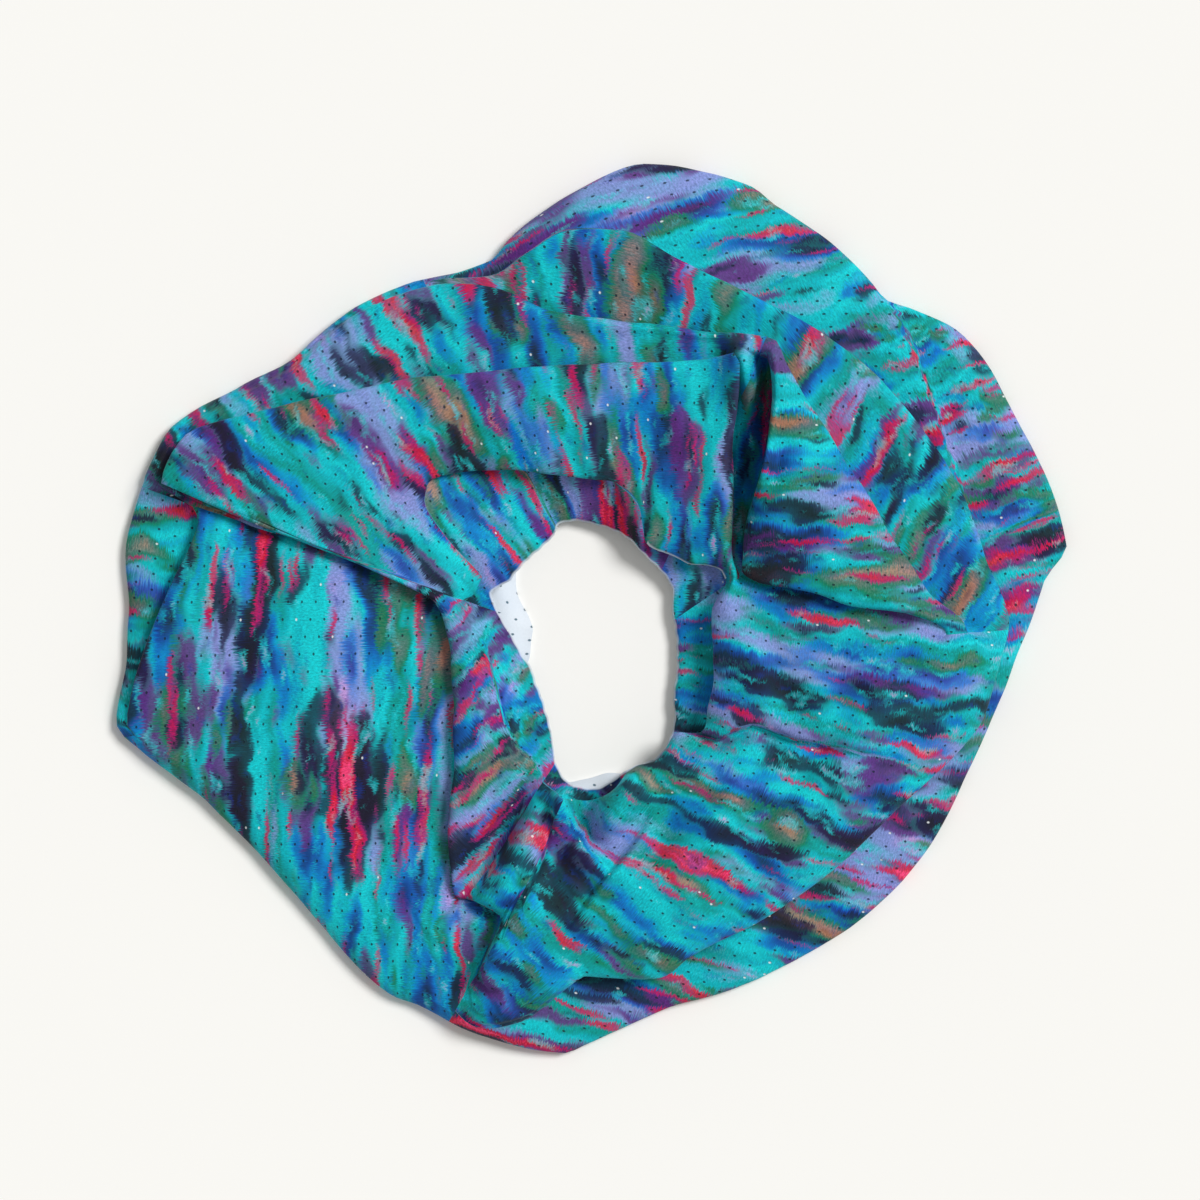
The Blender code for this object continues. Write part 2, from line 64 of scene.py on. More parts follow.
# Outer rim: angle, reach as a share of the ring's reach, top height as a share of its loft
RIM = (
    (0, 0.79, 0.2), (5, 0.824, 0.2), (10, 0.86, 0.2), (14, 0.92, 0.2), (20, 0.924, 0.2),
    (30, 0.922, 0.2), (42, 0.938, 0.2), (50, 0.904, 0.2), (53, 0.886, 0.21), (56, 0.9, 0.25),
    (60, 0.918, 0.26), (70, 0.95, 0.26), (75, 0.976, 0.26), (87, 0.982, 0.26), (95, 0.936, 0.26),
    (105, 0.86, 0.22), (108, 0.83, 0.18), (112, 0.828, 0.16), (120, 0.856, 0.16),
    (128, 0.874, 0.18), (137, 0.88, 0.2), (145, 0.93, 0.2), (150, 0.98, 0.18), (154, 1.008, 0.18),
    (163, 1.014, 0.17), (167, 1.014, 0.17), (175, 0.986, 0.17), (180, 0.986, 0.17),
    (188, 1.016, 0.17), (191, 0.98, 0.18), (195, 0.924, 0.2), (200, 0.87, 0.2), (210, 0.82, 0.2),
    (220, 0.804, 0.2), (237, 0.82, 0.2), (244, 0.806, 0.2), (255, 0.808, 0.24), (262, 0.804, 0.2),
    (265, 0.782, 0.18), (270, 0.748, 0.18), (280, 0.706, 0.18), (300, 0.702, 0.18),
    (320, 0.72, 0.18), (340, 0.732, 0.18), (350, 0.75, 0.18), (355, 0.77, 0.2),
)

# Upper hem: angle, reach, height
UPPER_HEM = (
    (0, 0.112, 0.12), (20, 0.118, 0.12), (40, 0.134, 0.13), (53, 0.17, 0.15), (70, 0.194, 0.22),
    (75, 0.202, 0.24), (78, 0.21, 0.28), (80, 0.216, 0.29), (85, 0.232, 0.25), (92, 0.248, 0.18),
    (100, 0.264, 0.14), (110, 0.286, 0.13), (116, 0.29, 0.14), (119, 0.274, 0.16),
    (130, 0.266, 0.2), (145, 0.266, 0.26), (154, 0.286, 0.24), (160, 0.262, 0.22), (170, 0.22, 0.2),
    (180, 0.196, 0.19), (190, 0.178, 0.19), (205, 0.177, 0.19), (220, 0.19, 0.19),
    (230, 0.212, 0.19), (240, 0.254, 0.18), (249, 0.274, 0.17), (258, 0.27, 0.17),
    (275, 0.226, 0.17), (290, 0.215, 0.15), (310, 0.168, 0.12), (320, 0.138, 0.12),
    (330, 0.124, 0.12), (345, 0.116, 0.12),
)

# Fold rows: angle, reach of the crest, tuck beneath it (below zero where it opens to a slope),
# height of the cloth below and above the crest, crown of the cloth halfway to the next fold.
# Reaches and tucks are shares of the ring's reach, heights and crowns shares of its loft.
INNER_FOLD = (
    (0, 0.182, 0.06, 0.22, 0.5, 0.06), (12, 0.184, 0.05, 0.22, 0.5, 0.05),
    (20, 0.19, 0.05, 0.22, 0.5, 0.04), (27, 0.202, 0.045, 0.22, 0.5, 0.02),
    (31, 0.226, 0.01, 0.2, 0.46, 0), (35, 0.256, 0.004, 0.19, 0.42, 0),
    (40, 0.26, 0.01, 0.19, 0.42, 0.01), (45, 0.25, 0.024, 0.2, 0.44, 0.02),
    (55, 0.224, 0.03, 0.23, 0.44, 0.05), (70, 0.221, 0.02, 0.25, 0.43, 0.06),
    (75, 0.225, 0.008, 0.28, 0.43, 0.05), (78, 0.24, -0.01, 0.37, 0.43, 0.04),
    (80, 0.27, -0.03, 0.4, 0.44, 0.03), (83, 0.318, -0.045, 0.41, 0.46, 0.04),
    (88, 0.34, -0.03, 0.4, 0.48, 0.05), (92, 0.344, 0.002, 0.38, 0.51, 0.06),
    (96.6, 0.348, 0.026, 0.36, 0.53, 0.08), (109.5, 0.378, 0.03, 0.34, 0.53, 0.07),
    (119, 0.42, 0.032, 0.32, 0.51, 0.06), (128, 0.464, 0.03, 0.32, 0.49, 0.06),
    (134, 0.496, 0.022, 0.33, 0.48, 0.06), (138, 0.512, 0.006, 0.36, 0.46, 0.06),
    (142, 0.5, -0.01, 0.4, 0.44, 0.07), (147, 0.4, -0.014, 0.32, 0.38, 0.1),
    (151, 0.32, -0.004, 0.25, 0.38, 0.12), (157, 0.316, 0.015, 0.23, 0.42, 0.09),
    (160.6, 0.332, 0.01, 0.23, 0.42, 0.02), (163, 0.3, -0.016, 0.24, 0.4, 0),
    (180, 0.25, -0.02, 0.24, 0.36, 0.03), (205, 0.235, -0.02, 0.25, 0.34, 0.05),
    (225, 0.27, -0.02, 0.25, 0.32, 0.05), (238, 0.3, -0.015, 0.24, 0.3, 0.04),
    (244, 0.305, -0.01, 0.22, 0.32, 0.04), (248, 0.304, 0.008, 0.2, 0.46, 0.1),
    (252, 0.3, 0.01, 0.19, 0.34, 0.16), (256, 0.298, 0.01, 0.18, 0.26, 0.18),
    (260, 0.29, 0.016, 0.19, 0.32, 0.18), (264, 0.278, 0.028, 0.2, 0.5, 0.12),
    (268, 0.262, 0.03, 0.2, 0.5, 0.1), (274, 0.232, 0.04, 0.2, 0.48, 0.06),
    (281, 0.222, 0.04, 0.2, 0.48, 0.04), (289, 0.222, 0.04, 0.2, 0.48, 0.06),
    (297, 0.206, 0.05, 0.2, 0.5, 0.08), (306, 0.19, 0.06, 0.2, 0.5, 0.1),
    (318, 0.22, 0.06, 0.21, 0.5, 0.12), (330, 0.2, 0.06, 0.22, 0.5, 0.12),
    (345, 0.19, 0.06, 0.22, 0.5, 0.08),
)
CUFF_FOLD = (
    (0, 0.32, -0.02, 0.6, 0.58, 0.04), (12, 0.3, -0.02, 0.56, 0.54, 0.02),
    (22, 0.262, -0.02, 0.52, 0.52, 0), (30, 0.262, -0.012, 0.46, 0.5, 0),
    (35, 0.279, -0.004, 0.38, 0.52, -0.02), (40, 0.29, 0.004, 0.3, 0.54, -0.02),
    (46, 0.316, 0.014, 0.2, 0.58, 0), (52, 0.36, 0.02, 0.11, 0.64, 0),
    (58, 0.42, 0.024, 0.1, 0.7, 0), (62, 0.47, 0.022, 0.12, 0.76, 0),
    (66, 0.58, 0.016, 0.26, 0.8, 0), (68.5, 0.636, 0.02, 0.5, 0.78, 0),
    (71, 0.624, 0.03, 0.5, 0.76, 0), (75, 0.606, 0.04, 0.48, 0.72, 0),
    (85, 0.584, 0.05, 0.44, 0.7, 0), (94, 0.58, 0.05, 0.42, 0.68, 0.01),
    (108, 0.6, 0.05, 0.4, 0.66, 0.02), (118, 0.634, 0.05, 0.38, 0.64, 0.02),
    (126, 0.68, 0.05, 0.36, 0.62, 0.01), (135, 0.744, 0.045, 0.34, 0.58, 0.01),
    (142, 0.814, 0.035, 0.32, 0.54, 0), (147, 0.878, 0.022, 0.3, 0.5, 0),
    (150, 0.928, 0.01, 0.29, 0.48, 0), (153, 0.966, 0.002, 0.28, 0.45, 0),
    (157, 0.976, 0.002, 0.26, 0.44, 0), (159.3, 0.972, 0.01, 0.26, 0.45, 0),
    (160.6, 0.56, 0.12, 0.25, 0.47, 0), (162.5, 0.4, 0.044, 0.24, 0.46, 0),
    (166, 0.37, 0.03, 0.23, 0.44, 0.01), (171, 0.354, 0.026, 0.23, 0.43, 0.02),
    (180, 0.34, 0.026, 0.23, 0.42, 0.02), (196, 0.346, 0.03, 0.23, 0.43, 0.03),
    (205, 0.37, 0.035, 0.23, 0.44, 0.03), (214, 0.402, 0.035, 0.23, 0.44, 0.03),
    (225, 0.486, 0.035, 0.23, 0.45, 0.02), (232, 0.546, 0.03, 0.23, 0.44, 0.01),
    (236.5, 0.582, 0.024, 0.23, 0.4, 0), (240, 0.568, 0.02, 0.23, 0.42, 0),
    (244, 0.566, 0.018, 0.24, 0.45, 0), (247.2, 0.572, 0.016, 0.25, 0.48, 0),
    (248.8, 0.69, 0.02, 0.3, 0.54, 0), (251, 0.708, -0.01, 0.4, 0.52, 0),
    (256, 0.64, -0.02, 0.54, 0.56, 0), (264, 0.5, -0.02, 0.6, 0.62, 0.03),
    (280, 0.38, -0.02, 0.58, 0.58, 0.05), (300, 0.34, -0.02, 0.62, 0.6, 0.06),
    (330, 0.34, -0.02, 0.66, 0.64, 0.06),
)
FLAP_FOLD = (
    (0, 0.6, -0.02, 0.62, 0.62, 0), (4, 0.65, -0.006, 0.58, 0.62, 0),
    (8.5, 0.57, 0.02, 0.52, 0.72, 0.02), (12.4, 0.464, 0.03, 0.5, 0.74, 0.05),
    (18, 0.4, 0.035, 0.49, 0.74, 0.07), (23.6, 0.344, 0.035, 0.46, 0.7, 0.08),
    (29, 0.303, 0.025, 0.42, 0.64, 0.09), (34, 0.292, 0.015, 0.36, 0.6, 0.1),
    (40, 0.316, 0.012, 0.26, 0.62, 0.11), (44.5, 0.342, 0.016, 0.2, 0.66, 0.1),
    (48, 0.38, 0.02, 0.16, 0.7, 0.1), (52, 0.446, 0.022, 0.11, 0.75, 0.08),
    (55.8, 0.516, 0.02, 0.1, 0.8, 0.06), (60.5, 0.615, 0.012, 0.14, 0.84, 0.02),
    (63.5, 0.66, -0.004, 0.4, 0.8, 0), (66, 0.652, -0.006, 0.46, 0.6, 0),
    (68.5, 0.656, -0.006, 0.52, 0.54, 0), (75, 0.632, -0.01, 0.48, 0.48, 0),
    (90, 0.618, -0.015, 0.44, 0.44, 0), (108, 0.66, -0.015, 0.42, 0.42, 0.02),
    (118, 0.72, -0.02, 0.4, 0.4, 0.01), (126, 0.752, -0.015, 0.37, 0.36, 0),
    (135, 0.782, -0.012, 0.36, 0.37, 0), (142, 0.836, -0.008, 0.34, 0.35, 0),
    (147, 0.893, -0.006, 0.32, 0.33, 0), (150, 0.94, -0.005, 0.3, 0.3, 0),
    (153, 0.976, -0.004, 0.28, 0.27, 0), (157, 0.985, -0.004, 0.26, 0.25, 0),
    (159.3, 0.984, -0.004, 0.26, 0.25, 0), (160.6, 0.64, -0.02, 0.25, 0.26, 0.01),
    (162.5, 0.52, -0.02, 0.26, 0.28, 0.02), (171, 0.48, -0.02, 0.26, 0.28, 0.03),
    (205, 0.48, -0.02, 0.26, 0.28, 0.03), (225, 0.56, -0.02, 0.25, 0.27, 0.03),
    (236.5, 0.64, -0.02, 0.24, 0.26, 0.02), (244, 0.63, -0.02, 0.24, 0.26, 0.02),
    (247.2, 0.64, -0.02, 0.25, 0.27, 0.01), (248.8, 0.722, -0.008, 0.3, 0.31, 0),
    (251, 0.752, -0.008, 0.38, 0.38, 0), (256, 0.69, -0.02, 0.52, 0.52, 0),
    (264, 0.56, -0.012, 0.62, 0.62, 0), (280, 0.48, -0.02, 0.64, 0.64, 0),
    (300, 0.45, -0.02, 0.68, 0.68, 0), (330, 0.47, -0.02, 0.7, 0.7, 0),
    (348, 0.54, -0.02, 0.68, 0.68, 0),
)
BAND_FOLD = (
    (0, 0.69, -0.012, 0.52, 0.54, 0), (5, 0.684, 0.004, 0.46, 0.6, 0),
    (11, 0.626, 0.025, 0.43, 0.64, 0.01), (16, 0.606, 0.035, 0.42, 0.65, 0.02),
    (25, 0.584, 0.04, 0.42, 0.66, 0.02), (39, 0.584, 0.04, 0.43, 0.67, 0.02),
    (47, 0.602, 0.035, 0.44, 0.7, 0.02), (55, 0.632, 0.03, 0.46, 0.74, 0.01),
    (60, 0.664, 0.022, 0.46, 0.78, 0), (63.5, 0.694, 0.008, 0.42, 0.76, 0),
    (66, 0.688, 0.01, 0.36, 0.58, 0), (70, 0.678, 0.02, 0.32, 0.52, 0.02),
    (77, 0.662, 0.03, 0.3, 0.5, 0.05), (87, 0.662, 0.03, 0.28, 0.48, 0.05),
    (95, 0.676, 0.03, 0.28, 0.47, 0.04), (102, 0.704, 0.03, 0.27, 0.46, 0.02),
    (108, 0.764, 0.025, 0.23, 0.42, 0), (117, 0.824, 0.02, 0.18, 0.38, 0.02),
    (124, 0.848, 0.008, 0.18, 0.38, 0.02), (130, 0.86, -0.004, 0.2, 0.36, 0.02),
    (137, 0.862, -0.006, 0.22, 0.34, 0.02), (145, 0.908, -0.006, 0.22, 0.32, 0.01),
    (150, 0.956, -0.005, 0.21, 0.27, 0), (153, 0.985, -0.003, 0.2, 0.24, 0),
    (157, 0.992, -0.003, 0.2, 0.23, 0), (159.3, 0.993, -0.003, 0.22, 0.23, 0),
    (160.6, 0.77, -0.02, 0.27, 0.28, 0.01), (162.5, 0.7, -0.02, 0.33, 0.33, 0.01),
    (171, 0.68, -0.02, 0.34, 0.34, 0.01), (205, 0.62, -0.02, 0.28, 0.28, 0.02),
    (225, 0.66, -0.02, 0.27, 0.27, 0.01), (240, 0.7, -0.02, 0.26, 0.26, 0),
    (247, 0.7, -0.02, 0.25, 0.26, 0), (248.8, 0.748, -0.006, 0.28, 0.29, 0),
    (251, 0.77, -0.006, 0.34, 0.36, 0), (256, 0.73, -0.01, 0.46, 0.48, 0),
    (260, 0.65, -0.015, 0.54, 0.56, 0), (264, 0.59, -0.015, 0.56, 0.6, 0),
    (280, 0.56, -0.02, 0.56, 0.6, 0), (300, 0.53, -0.02, 0.6, 0.64, 0),
    (330, 0.56, -0.02, 0.6, 0.64, 0), (342, 0.62, -0.02, 0.58, 0.62, 0),
    (352, 0.68, -0.015, 0.54, 0.58, 0),
)
PANEL_FOLD = (
    (0, 0.756, 0.03, 0.2, 0.41, 0), (5, 0.774, 0.035, 0.21, 0.41, 0.01),
    (15, 0.752, 0.04, 0.22, 0.42, 0.02), (30, 0.75, 0.04, 0.22, 0.42, 0.02),
    (50, 0.754, 0.035, 0.24, 0.43, 0.03), (65, 0.758, 0.025, 0.28, 0.46, 0.05),
    (75, 0.772, 0.018, 0.34, 0.48, 0.05), (82, 0.794, 0.01, 0.38, 0.48, 0.04),
    (90, 0.842, -0.004, 0.36, 0.42, 0.03), (97, 0.85, -0.02, 0.32, 0.36, 0.01),
    (103, 0.82, -0.02, 0.28, 0.3, 0), (108, 0.797, -0.006, 0.19, 0.2, 0),
    (117, 0.836, -0.003, 0.16, 0.17, 0), (124, 0.856, -0.003, 0.16, 0.17, 0),
    (130, 0.869, -0.003, 0.17, 0.18, 0), (137, 0.871, -0.003, 0.18, 0.2, 0),
    (145, 0.919, -0.003, 0.2, 0.21, 0), (150, 0.967, -0.003, 0.19, 0.2, 0),
    (154, 0.996, -0.003, 0.17, 0.19, 0), (157.5, 1, -0.003, 0.17, 0.19, 0),
    (159.3, 1.001, -0.003, 0.18, 0.2, 0), (160.6, 0.9, -0.006, 0.17, 0.26, 0),
    (162.5, 0.88, 0.014, 0.17, 0.36, 0), (165, 0.882, 0.03, 0.17, 0.37, 0),
    (170, 0.902, 0.03, 0.17, 0.37, 0), (175, 0.924, 0.028, 0.17, 0.36, 0),
    (180, 0.952, 0.02, 0.17, 0.34, 0), (185, 0.978, 0.004, 0.17, 0.3, 0),
    (188, 0.99, -0.003, 0.17, 0.22, 0), (191, 0.95, -0.008, 0.21, 0.24, 0),
    (195, 0.88, -0.01, 0.24, 0.26, 0), (202, 0.81, -0.01, 0.24, 0.26, 0),
    (210, 0.77, -0.01, 0.23, 0.25, 0), (220, 0.756, -0.01, 0.23, 0.25, 0),
    (240, 0.77, -0.01, 0.23, 0.25, 0), (247, 0.772, -0.01, 0.23, 0.25, 0),
    (251, 0.79, -0.004, 0.26, 0.28, 0), (256, 0.752, -0.006, 0.28, 0.38, 0),
    (260, 0.684, 0.006, 0.26, 0.5, 0), (264, 0.64, 0.022, 0.24, 0.54, 0),
    (268, 0.64, 0.03, 0.22, 0.52, 0), (277, 0.644, 0.035, 0.2, 0.5, 0),
    (283, 0.614, 0.04, 0.2, 0.5, 0.01), (290, 0.6, 0.04, 0.21, 0.5, 0.02),
    (308, 0.594, 0.04, 0.21, 0.5, 0.02), (320, 0.604, 0.04, 0.21, 0.5, 0.02),
    (330, 0.624, 0.04, 0.21, 0.49, 0.01), (337, 0.656, 0.035, 0.2, 0.47, 0.01),
    (345, 0.704, 0.03, 0.18, 0.42, 0), (350, 0.73, 0.024, 0.18, 0.4, 0),
)

# Lower hem, on the flat layer beneath: angle, reach
LOWER_HEM = (
    (0, 0.22), (40, 0.26), (80, 0.3), (110, 0.31), (130, 0.3), (142, 0.266), (150, 0.238),
    (157, 0.2), (165, 0.182), (178, 0.18), (188, 0.19), (205, 0.23), (225, 0.27), (245, 0.276),
    (255, 0.256), (265, 0.236), (280, 0.24), (310, 0.23), (335, 0.22),
)

# Turns of the stations away from straight rays: angle, spread in degrees, reach where the turn
# starts, turn in degrees at full reach
SWEEPS = (
    (247, 10, 0.4, -5), (64, 9, 0.3, 1.5),
)

# Dents and ridges pressed in the pile: angle, reach of the middle, heading of its long side,
# half length, half width, share of the local height (below zero for a dent)
DENTS = (
    (46, 0.33, 62, 0.22, 0.022, -0.18), (231, 0.4, 232, 0.14, 0.03, -0.06),
    (316, 0.28, 10, 0.16, 0.03, -0.12), (276, 0.56, 340, 0.2, 0.04, -0.06),
    (318, 0.48, 300, 0.12, 0.06, 0.05), (352, 0.36, 15, 0.18, 0.03, -0.07),
    (24, 0.42, 172, 0.2, 0.02, -0.06), (126, 0.44, 142, 0.24, 0.03, -0.08),
    (112, 0.33, 168, 0.18, 0.03, -0.1), (103, 0.8, 178, 0.3, 0.03, -0.1),
    (162, 0.78, 105, 0.22, 0.03, -0.06), (200, 0.62, 290, 0.3, 0.05, 0.06),
)

# Creases pressed in the pile: half width in metres, share of the local height (below zero for a
# valley), and the frame pixels that the crease runs through
CREASES = (
    (0.0018, -0.13, ((738, 540), (778, 549), (824, 556), (870, 557), (902, 556))),
    (0.0022, 0.06, ((738, 531), (778, 540), (824, 547), (870, 548), (902, 546))),
    (0.002, -0.06, ((731, 508), (745, 513), (766, 514))),
    (0.003, -0.1, ((467, 286), (540, 286), (601, 285), (635, 283))),
    (0.0035, -0.12, ((353, 504), (388, 548), (430, 591))),
    (0.0034, 0.46, ((549, 792), (562, 802), (572, 823), (583, 845), (597, 860), (616, 867))),
    (0.0042, -0.66, ((604, 786), (592, 800), (588, 816), (592, 836), (602, 856))),
    (0.0046, 0.3, ((548, 800), (529, 830), (507, 865), (488, 892))),
    (0.0046, -0.95, ((530, 788), (512, 816), (500, 840), (487, 862), (472, 888))),
    (0.0034, -0.26, ((549, 800), (553, 816), (548, 836), (540, 858))),
    (0.0034, 1.7, ((739, 352), (747, 392), (752, 435), (752, 486))),
    (0.002, -0.2, ((950, 622), (972, 631), (990, 634), (1004, 632))),
    (0.003, -0.16, ((579, 826), (592, 848), (610, 861))),
    (0.003, -0.16, ((462, 902), (484, 908), (508, 916))),
    (0.003, 0.05, ((507, 745), (505, 772), (507, 790), (500, 808), (480, 832), (465, 866))),
    (0.0026, -0.18, ((686, 737), (704, 738), (720, 742), (735, 734), (751, 728), (769, 733),
        (795, 742))),
    (0.004, -0.14, ((770, 664), (784, 694), (796, 716), (808, 732))),
    (0.002, 0.05, ((735, 664), (772, 658), (812, 659), (838, 666), (852, 676))),
    (0.002, -0.06, ((740, 671), (776, 664), (812, 666), (838, 674), (850, 684))),
    (0.0045, 0.18, ((752, 738), (742, 770), (715, 806), (690, 836))),
    (0.0042, -0.18, ((690, 765), (672, 800), (657, 840), (640, 876))),
    (0.0034, -0.24, ((647, 766), (658, 794), (640, 815), (619, 837), (611, 866))),
    (0.004, -0.14, ((852, 700), (800, 770), (760, 812))),
    (0.005, 0.08, ((900, 640), (866, 700), (820, 760))),
    (0.0022, -0.1, ((1062, 508), (1020, 524), (982, 542))),
    (0.004, -0.09, ((846, 222), (880, 262), (905, 300))),
    (0.005, -0.08, ((640, 230), (700, 215), (760, 232))),
    (0.003, -0.08, ((677, 974), (715, 978), (752, 980))),
    (0.0036, -0.1, ((243, 518), (227, 579), (212, 623))),
    (0.003, -0.08, ((291, 540), (289, 575))),
    (0.0034, -0.08, ((926, 591), (950, 560), (971, 527))),
)

# Edges where one layer lies over the next: reach of the step in metres, share of the local height,
# shift of the print across the edge, and the frame pixels, with the raised side on the right
LAYER_EDGES = (
    (0.01, 0.26, 0.6, ((884, 290), (903, 332), (920, 370), (938, 420), (953, 470), (973, 520))),
    (0.006, -0.16, 0.45, ((558, 536), (540, 500), (527, 474), (505, 452))),
    (0.0075, 0.8, 0.18, ((463, 901), (474, 893), (491, 869), (504, 849), (515, 825), (526, 804),
        (548, 790), (570, 782))),
    (0.008, 0.34, 0.18, ((496, 935), (513, 912), (526, 897), (541, 866), (552, 836), (556, 814),
        (552, 794), (540, 776))),
    (0.006, 0.46, 0, ((578, 836), (583, 826), (593, 810), (607, 792), (634, 771), (662, 750))),
    (0.005, 0.16, 0.5, ((1062, 505), (1020, 521), (982, 538))),
    (0.008, 0.26, 0, ((588, 899), (604, 877), (618, 864), (631, 847), (644, 827), (651, 799))),
    (0.005, 0.2, 0.5, ((490, 664), (497, 692), (505, 722), (518, 745), (534, 760), (546, 775),
        (546, 788))),
    (0.006, -0.26, 0.3, ((690, 733), (704, 734), (718, 738), (732, 729), (750, 723), (769, 729),
        (791, 737), (815, 740), (870, 752), (926, 772))),
)

# Steps of the fine sheet between the points of a section, from the upper hem to the lower hem
FINE_STEPS = (
    (5,) * 2 + (3,) * 4 + (5,) * 4 + (3,) * 4 + (4,) * 2 + (3,) * 4 + (4,) * 3 + (3,) * 4
    + (5,) * 2 + (3,) * 4 + (5,) * 3 + (3,) * 2 + (4,) * 3
)

# Last section point of each strip of cloth: collar, cuff, valley, flap, band, panel
STRIP_ENDS = (3, 12, 17, 25, 31, 41)

# Section place and angles of the cuff's own hem, over the collar
CUFF_HEM_PLACE = 5.0
CUFF_HEM_ANGLES = (36.0, 77.5)

# Headings of the print's streaks, degrees counter-clockwise from +X: angle, collar, cuff, valley,
# flap, band, panel
STREAKS = (
    (2.9, 5, -8, -8, -6, -8, 12), (3.1, 5, -8, -8, -6, 57, 12), (10, 5, -8, -8, -5, 57, 17),
    (32.9, 0, -8, -20, -4, 57, 16), (33.1, 88, 88, 88, -4, 57, 16), (50, 88, 88, 88, -3, 57, 15),
    (63.9, 88, 88, 88, -6, 66, 16), (64.1, 88, 88, 88, 89, 66, 16), (75, 88, 89, 89, 90, 78, 18),
    (90, 92, 92, 92, 92, 88, 22), (105, 100, 100, 100, 102, 94, 28),
    (116.9, 116, 116, 116, 116, 100, 28), (117.1, 116, 116, 116, 116, 116, 116),
    (120, 118, 118, 120, 120, 120, 120), (135, 130, 130, 130, 128, 128, 128),
    (157, 132, 132, 132, 130, 130, 130), (160.2, 132, 132, 132, 130, 130, 130),
    (160.4, 40, 40, 90, 90, 90, -10), (188.9, 38, 38, 90, 90, 90, -10),
    (189.1, 38, 38, 90, 90, 90, 90), (220, 36, 36, 90, 90, 90, 90), (237.9, 50, 50, 90, 90, 90, 90),
    (238.1, -28, -28, 90, 90, 90, 90), (247.9, -40, -40, 90, 90, 90, 90),
    (248.1, -52, -52, -52, -52, -52, -15), (255, -50, -50, -50, -50, -50, -15),
    (270, -40, -40, -40, -40, -40, -18), (300, -32, -32, -32, -32, -32, -18),
    (330, -15, -15, -15, -15, -15, -14), (350, -9, -9, -9, -8, -9, -6),
)

# Pieces of the print, each laid apart from its neighbours: first angle, collar, cuff, valley, flap,
# band, panel
PATCHES = (
    (0, 0, 1, 1, 1, 1, 2), (3, 0, 1, 1, 3, 4, 2), (33, 0, 6, 7, 3, 4, 2), (64, 8, 6, 9, 9, 4, 2),
    (117, 8, 6, 9, 9, 9, 9), (160.3, 15, 15, 12, 12, 12, 13), (189, 15, 15, 12, 12, 12, 12),
    (238, 0, 5, 12, 12, 12, 12), (248, 0, 1, 1, 1, 1, 2),
)

# Where a heading jumps by more degrees than this, the print is laid apart
HEADING_JUMP = 15.0

# How firmly the print lies where the cloth is covered, and where its heading jumps between strips
COVERED_HOLD = 0.03
JUMP_HOLD = 0.02

# Most rounds of easing while the print is laid
EASING_ROUNDS = 1500

# Height that counts as another layer lying over the cloth, metres
LAYER_GAP = 0.0012

# Softness of a layer's edge, metres
EDGE_SOFTNESS = 0.0005

# Depth of the scallops along the upper hem, metres
SCALLOP = 0.00013

# Share of the loft above which the pile is pressed down, and what is left of the rest
PRESSED_ABOVE = 0.86
PRESSED_REST = 0.15

# Layers of noise in the ripples and in the two ways of the waver: share, waves to a metre, start
RIPPLE = ((0.62, 42.0, Vector((3.1, 0.0, 7.7))), (0.38, 105.0, Vector((0.0, 5.2, 1.3))))
WAVER = tuple(
    ((0.7, 38.0, start), (0.3, 120.0, start))
    for start in (Vector((0.37, 0.81, 0.22)), Vector((0.64, 0.15, 0.93)))
)

# Lean of the rows of holes, as a share of the step, and squash of a hole along the cloth
HOLE_LEAN = 0.345
HOLE_SQUASH = 0.75

# Washes of the print, in the order they are laid: width and length of a streak in metres, seed,
# detail, pull of the calm places, and stops of place, ink and how much of it shows
WASHES = (
    (0.0120, 0.050, 19.0, 2.0, 0.30, (
        (0.54, "lilac", 0.0), (0.61, "lilac", 0.80), (0.69, "lilac", 0.95),
        (0.78, "orchid", 0.95))),
    (0.0110, 0.040, 37.0, 2.0, -0.25, (
        (0.51, "azure", 0.0), (0.57, "azure", 0.80), (0.62, "royal", 0.9), (0.68, "navy", 0.95))),
    (0.0095, 0.040, 53.0, 2.0, 0.25, (
        (0.57, "purple", 0.0), (0.62, "purple", 0.85), (0.68, "purple", 0.92),
        (0.75, "navy", 0.95))),
    (0.0105, 0.036, 71.0, 2.0, -0.20, (
        (0.56, "teal", 0.0), (0.61, "green", 0.90), (0.67, "olive", 0.85), (0.73, "ochre", 0.85),
        (0.79, "navy", 0.95))),
    (0.0100, 0.034, 131.0, 2.0, 0.15, (
        (0.57, "teal", 0.0), (0.62, "navy", 0.85), (0.70, "dusk", 0.95))),
    (0.0046, 0.034, 89.0, 2.5, 0.20, (
        (0.59, "purple", 0.0), (0.64, "magenta", 0.85), (0.71, "red", 0.92),
        (0.78, "pink", 0.95))),
)

# Light dabs, and dark dabs where the light ones are lowest
LIGHT_DABS = ((0.58, "aqua", 0.0), (0.68, "aqua", 0.60), (0.80, "orchid", 0.75))
DARK_DABS = ((0.62, "royal", 0.0), (0.72, "royal", 0.45), (0.80, "navy", 0.65))

# Studio: strength of the pale sky, sun's strength, width in degrees and direction, camera's height
SKY_STRENGTH = 0.40
SUN_STRENGTH = 2.50
SUN_WIDTH = 22.0
SUN_DIRECTION = (0.86, 0.50, 1.12)
CAMERA_HEIGHT = 1.40
SENSOR_WIDTH = 36.0


def metres(name, text, default):
    """A length of the ring that a user may change."""
    return bpy.props.FloatProperty(
        name=name, description=text, default=default, unit="LENGTH", subtype="DISTANCE")


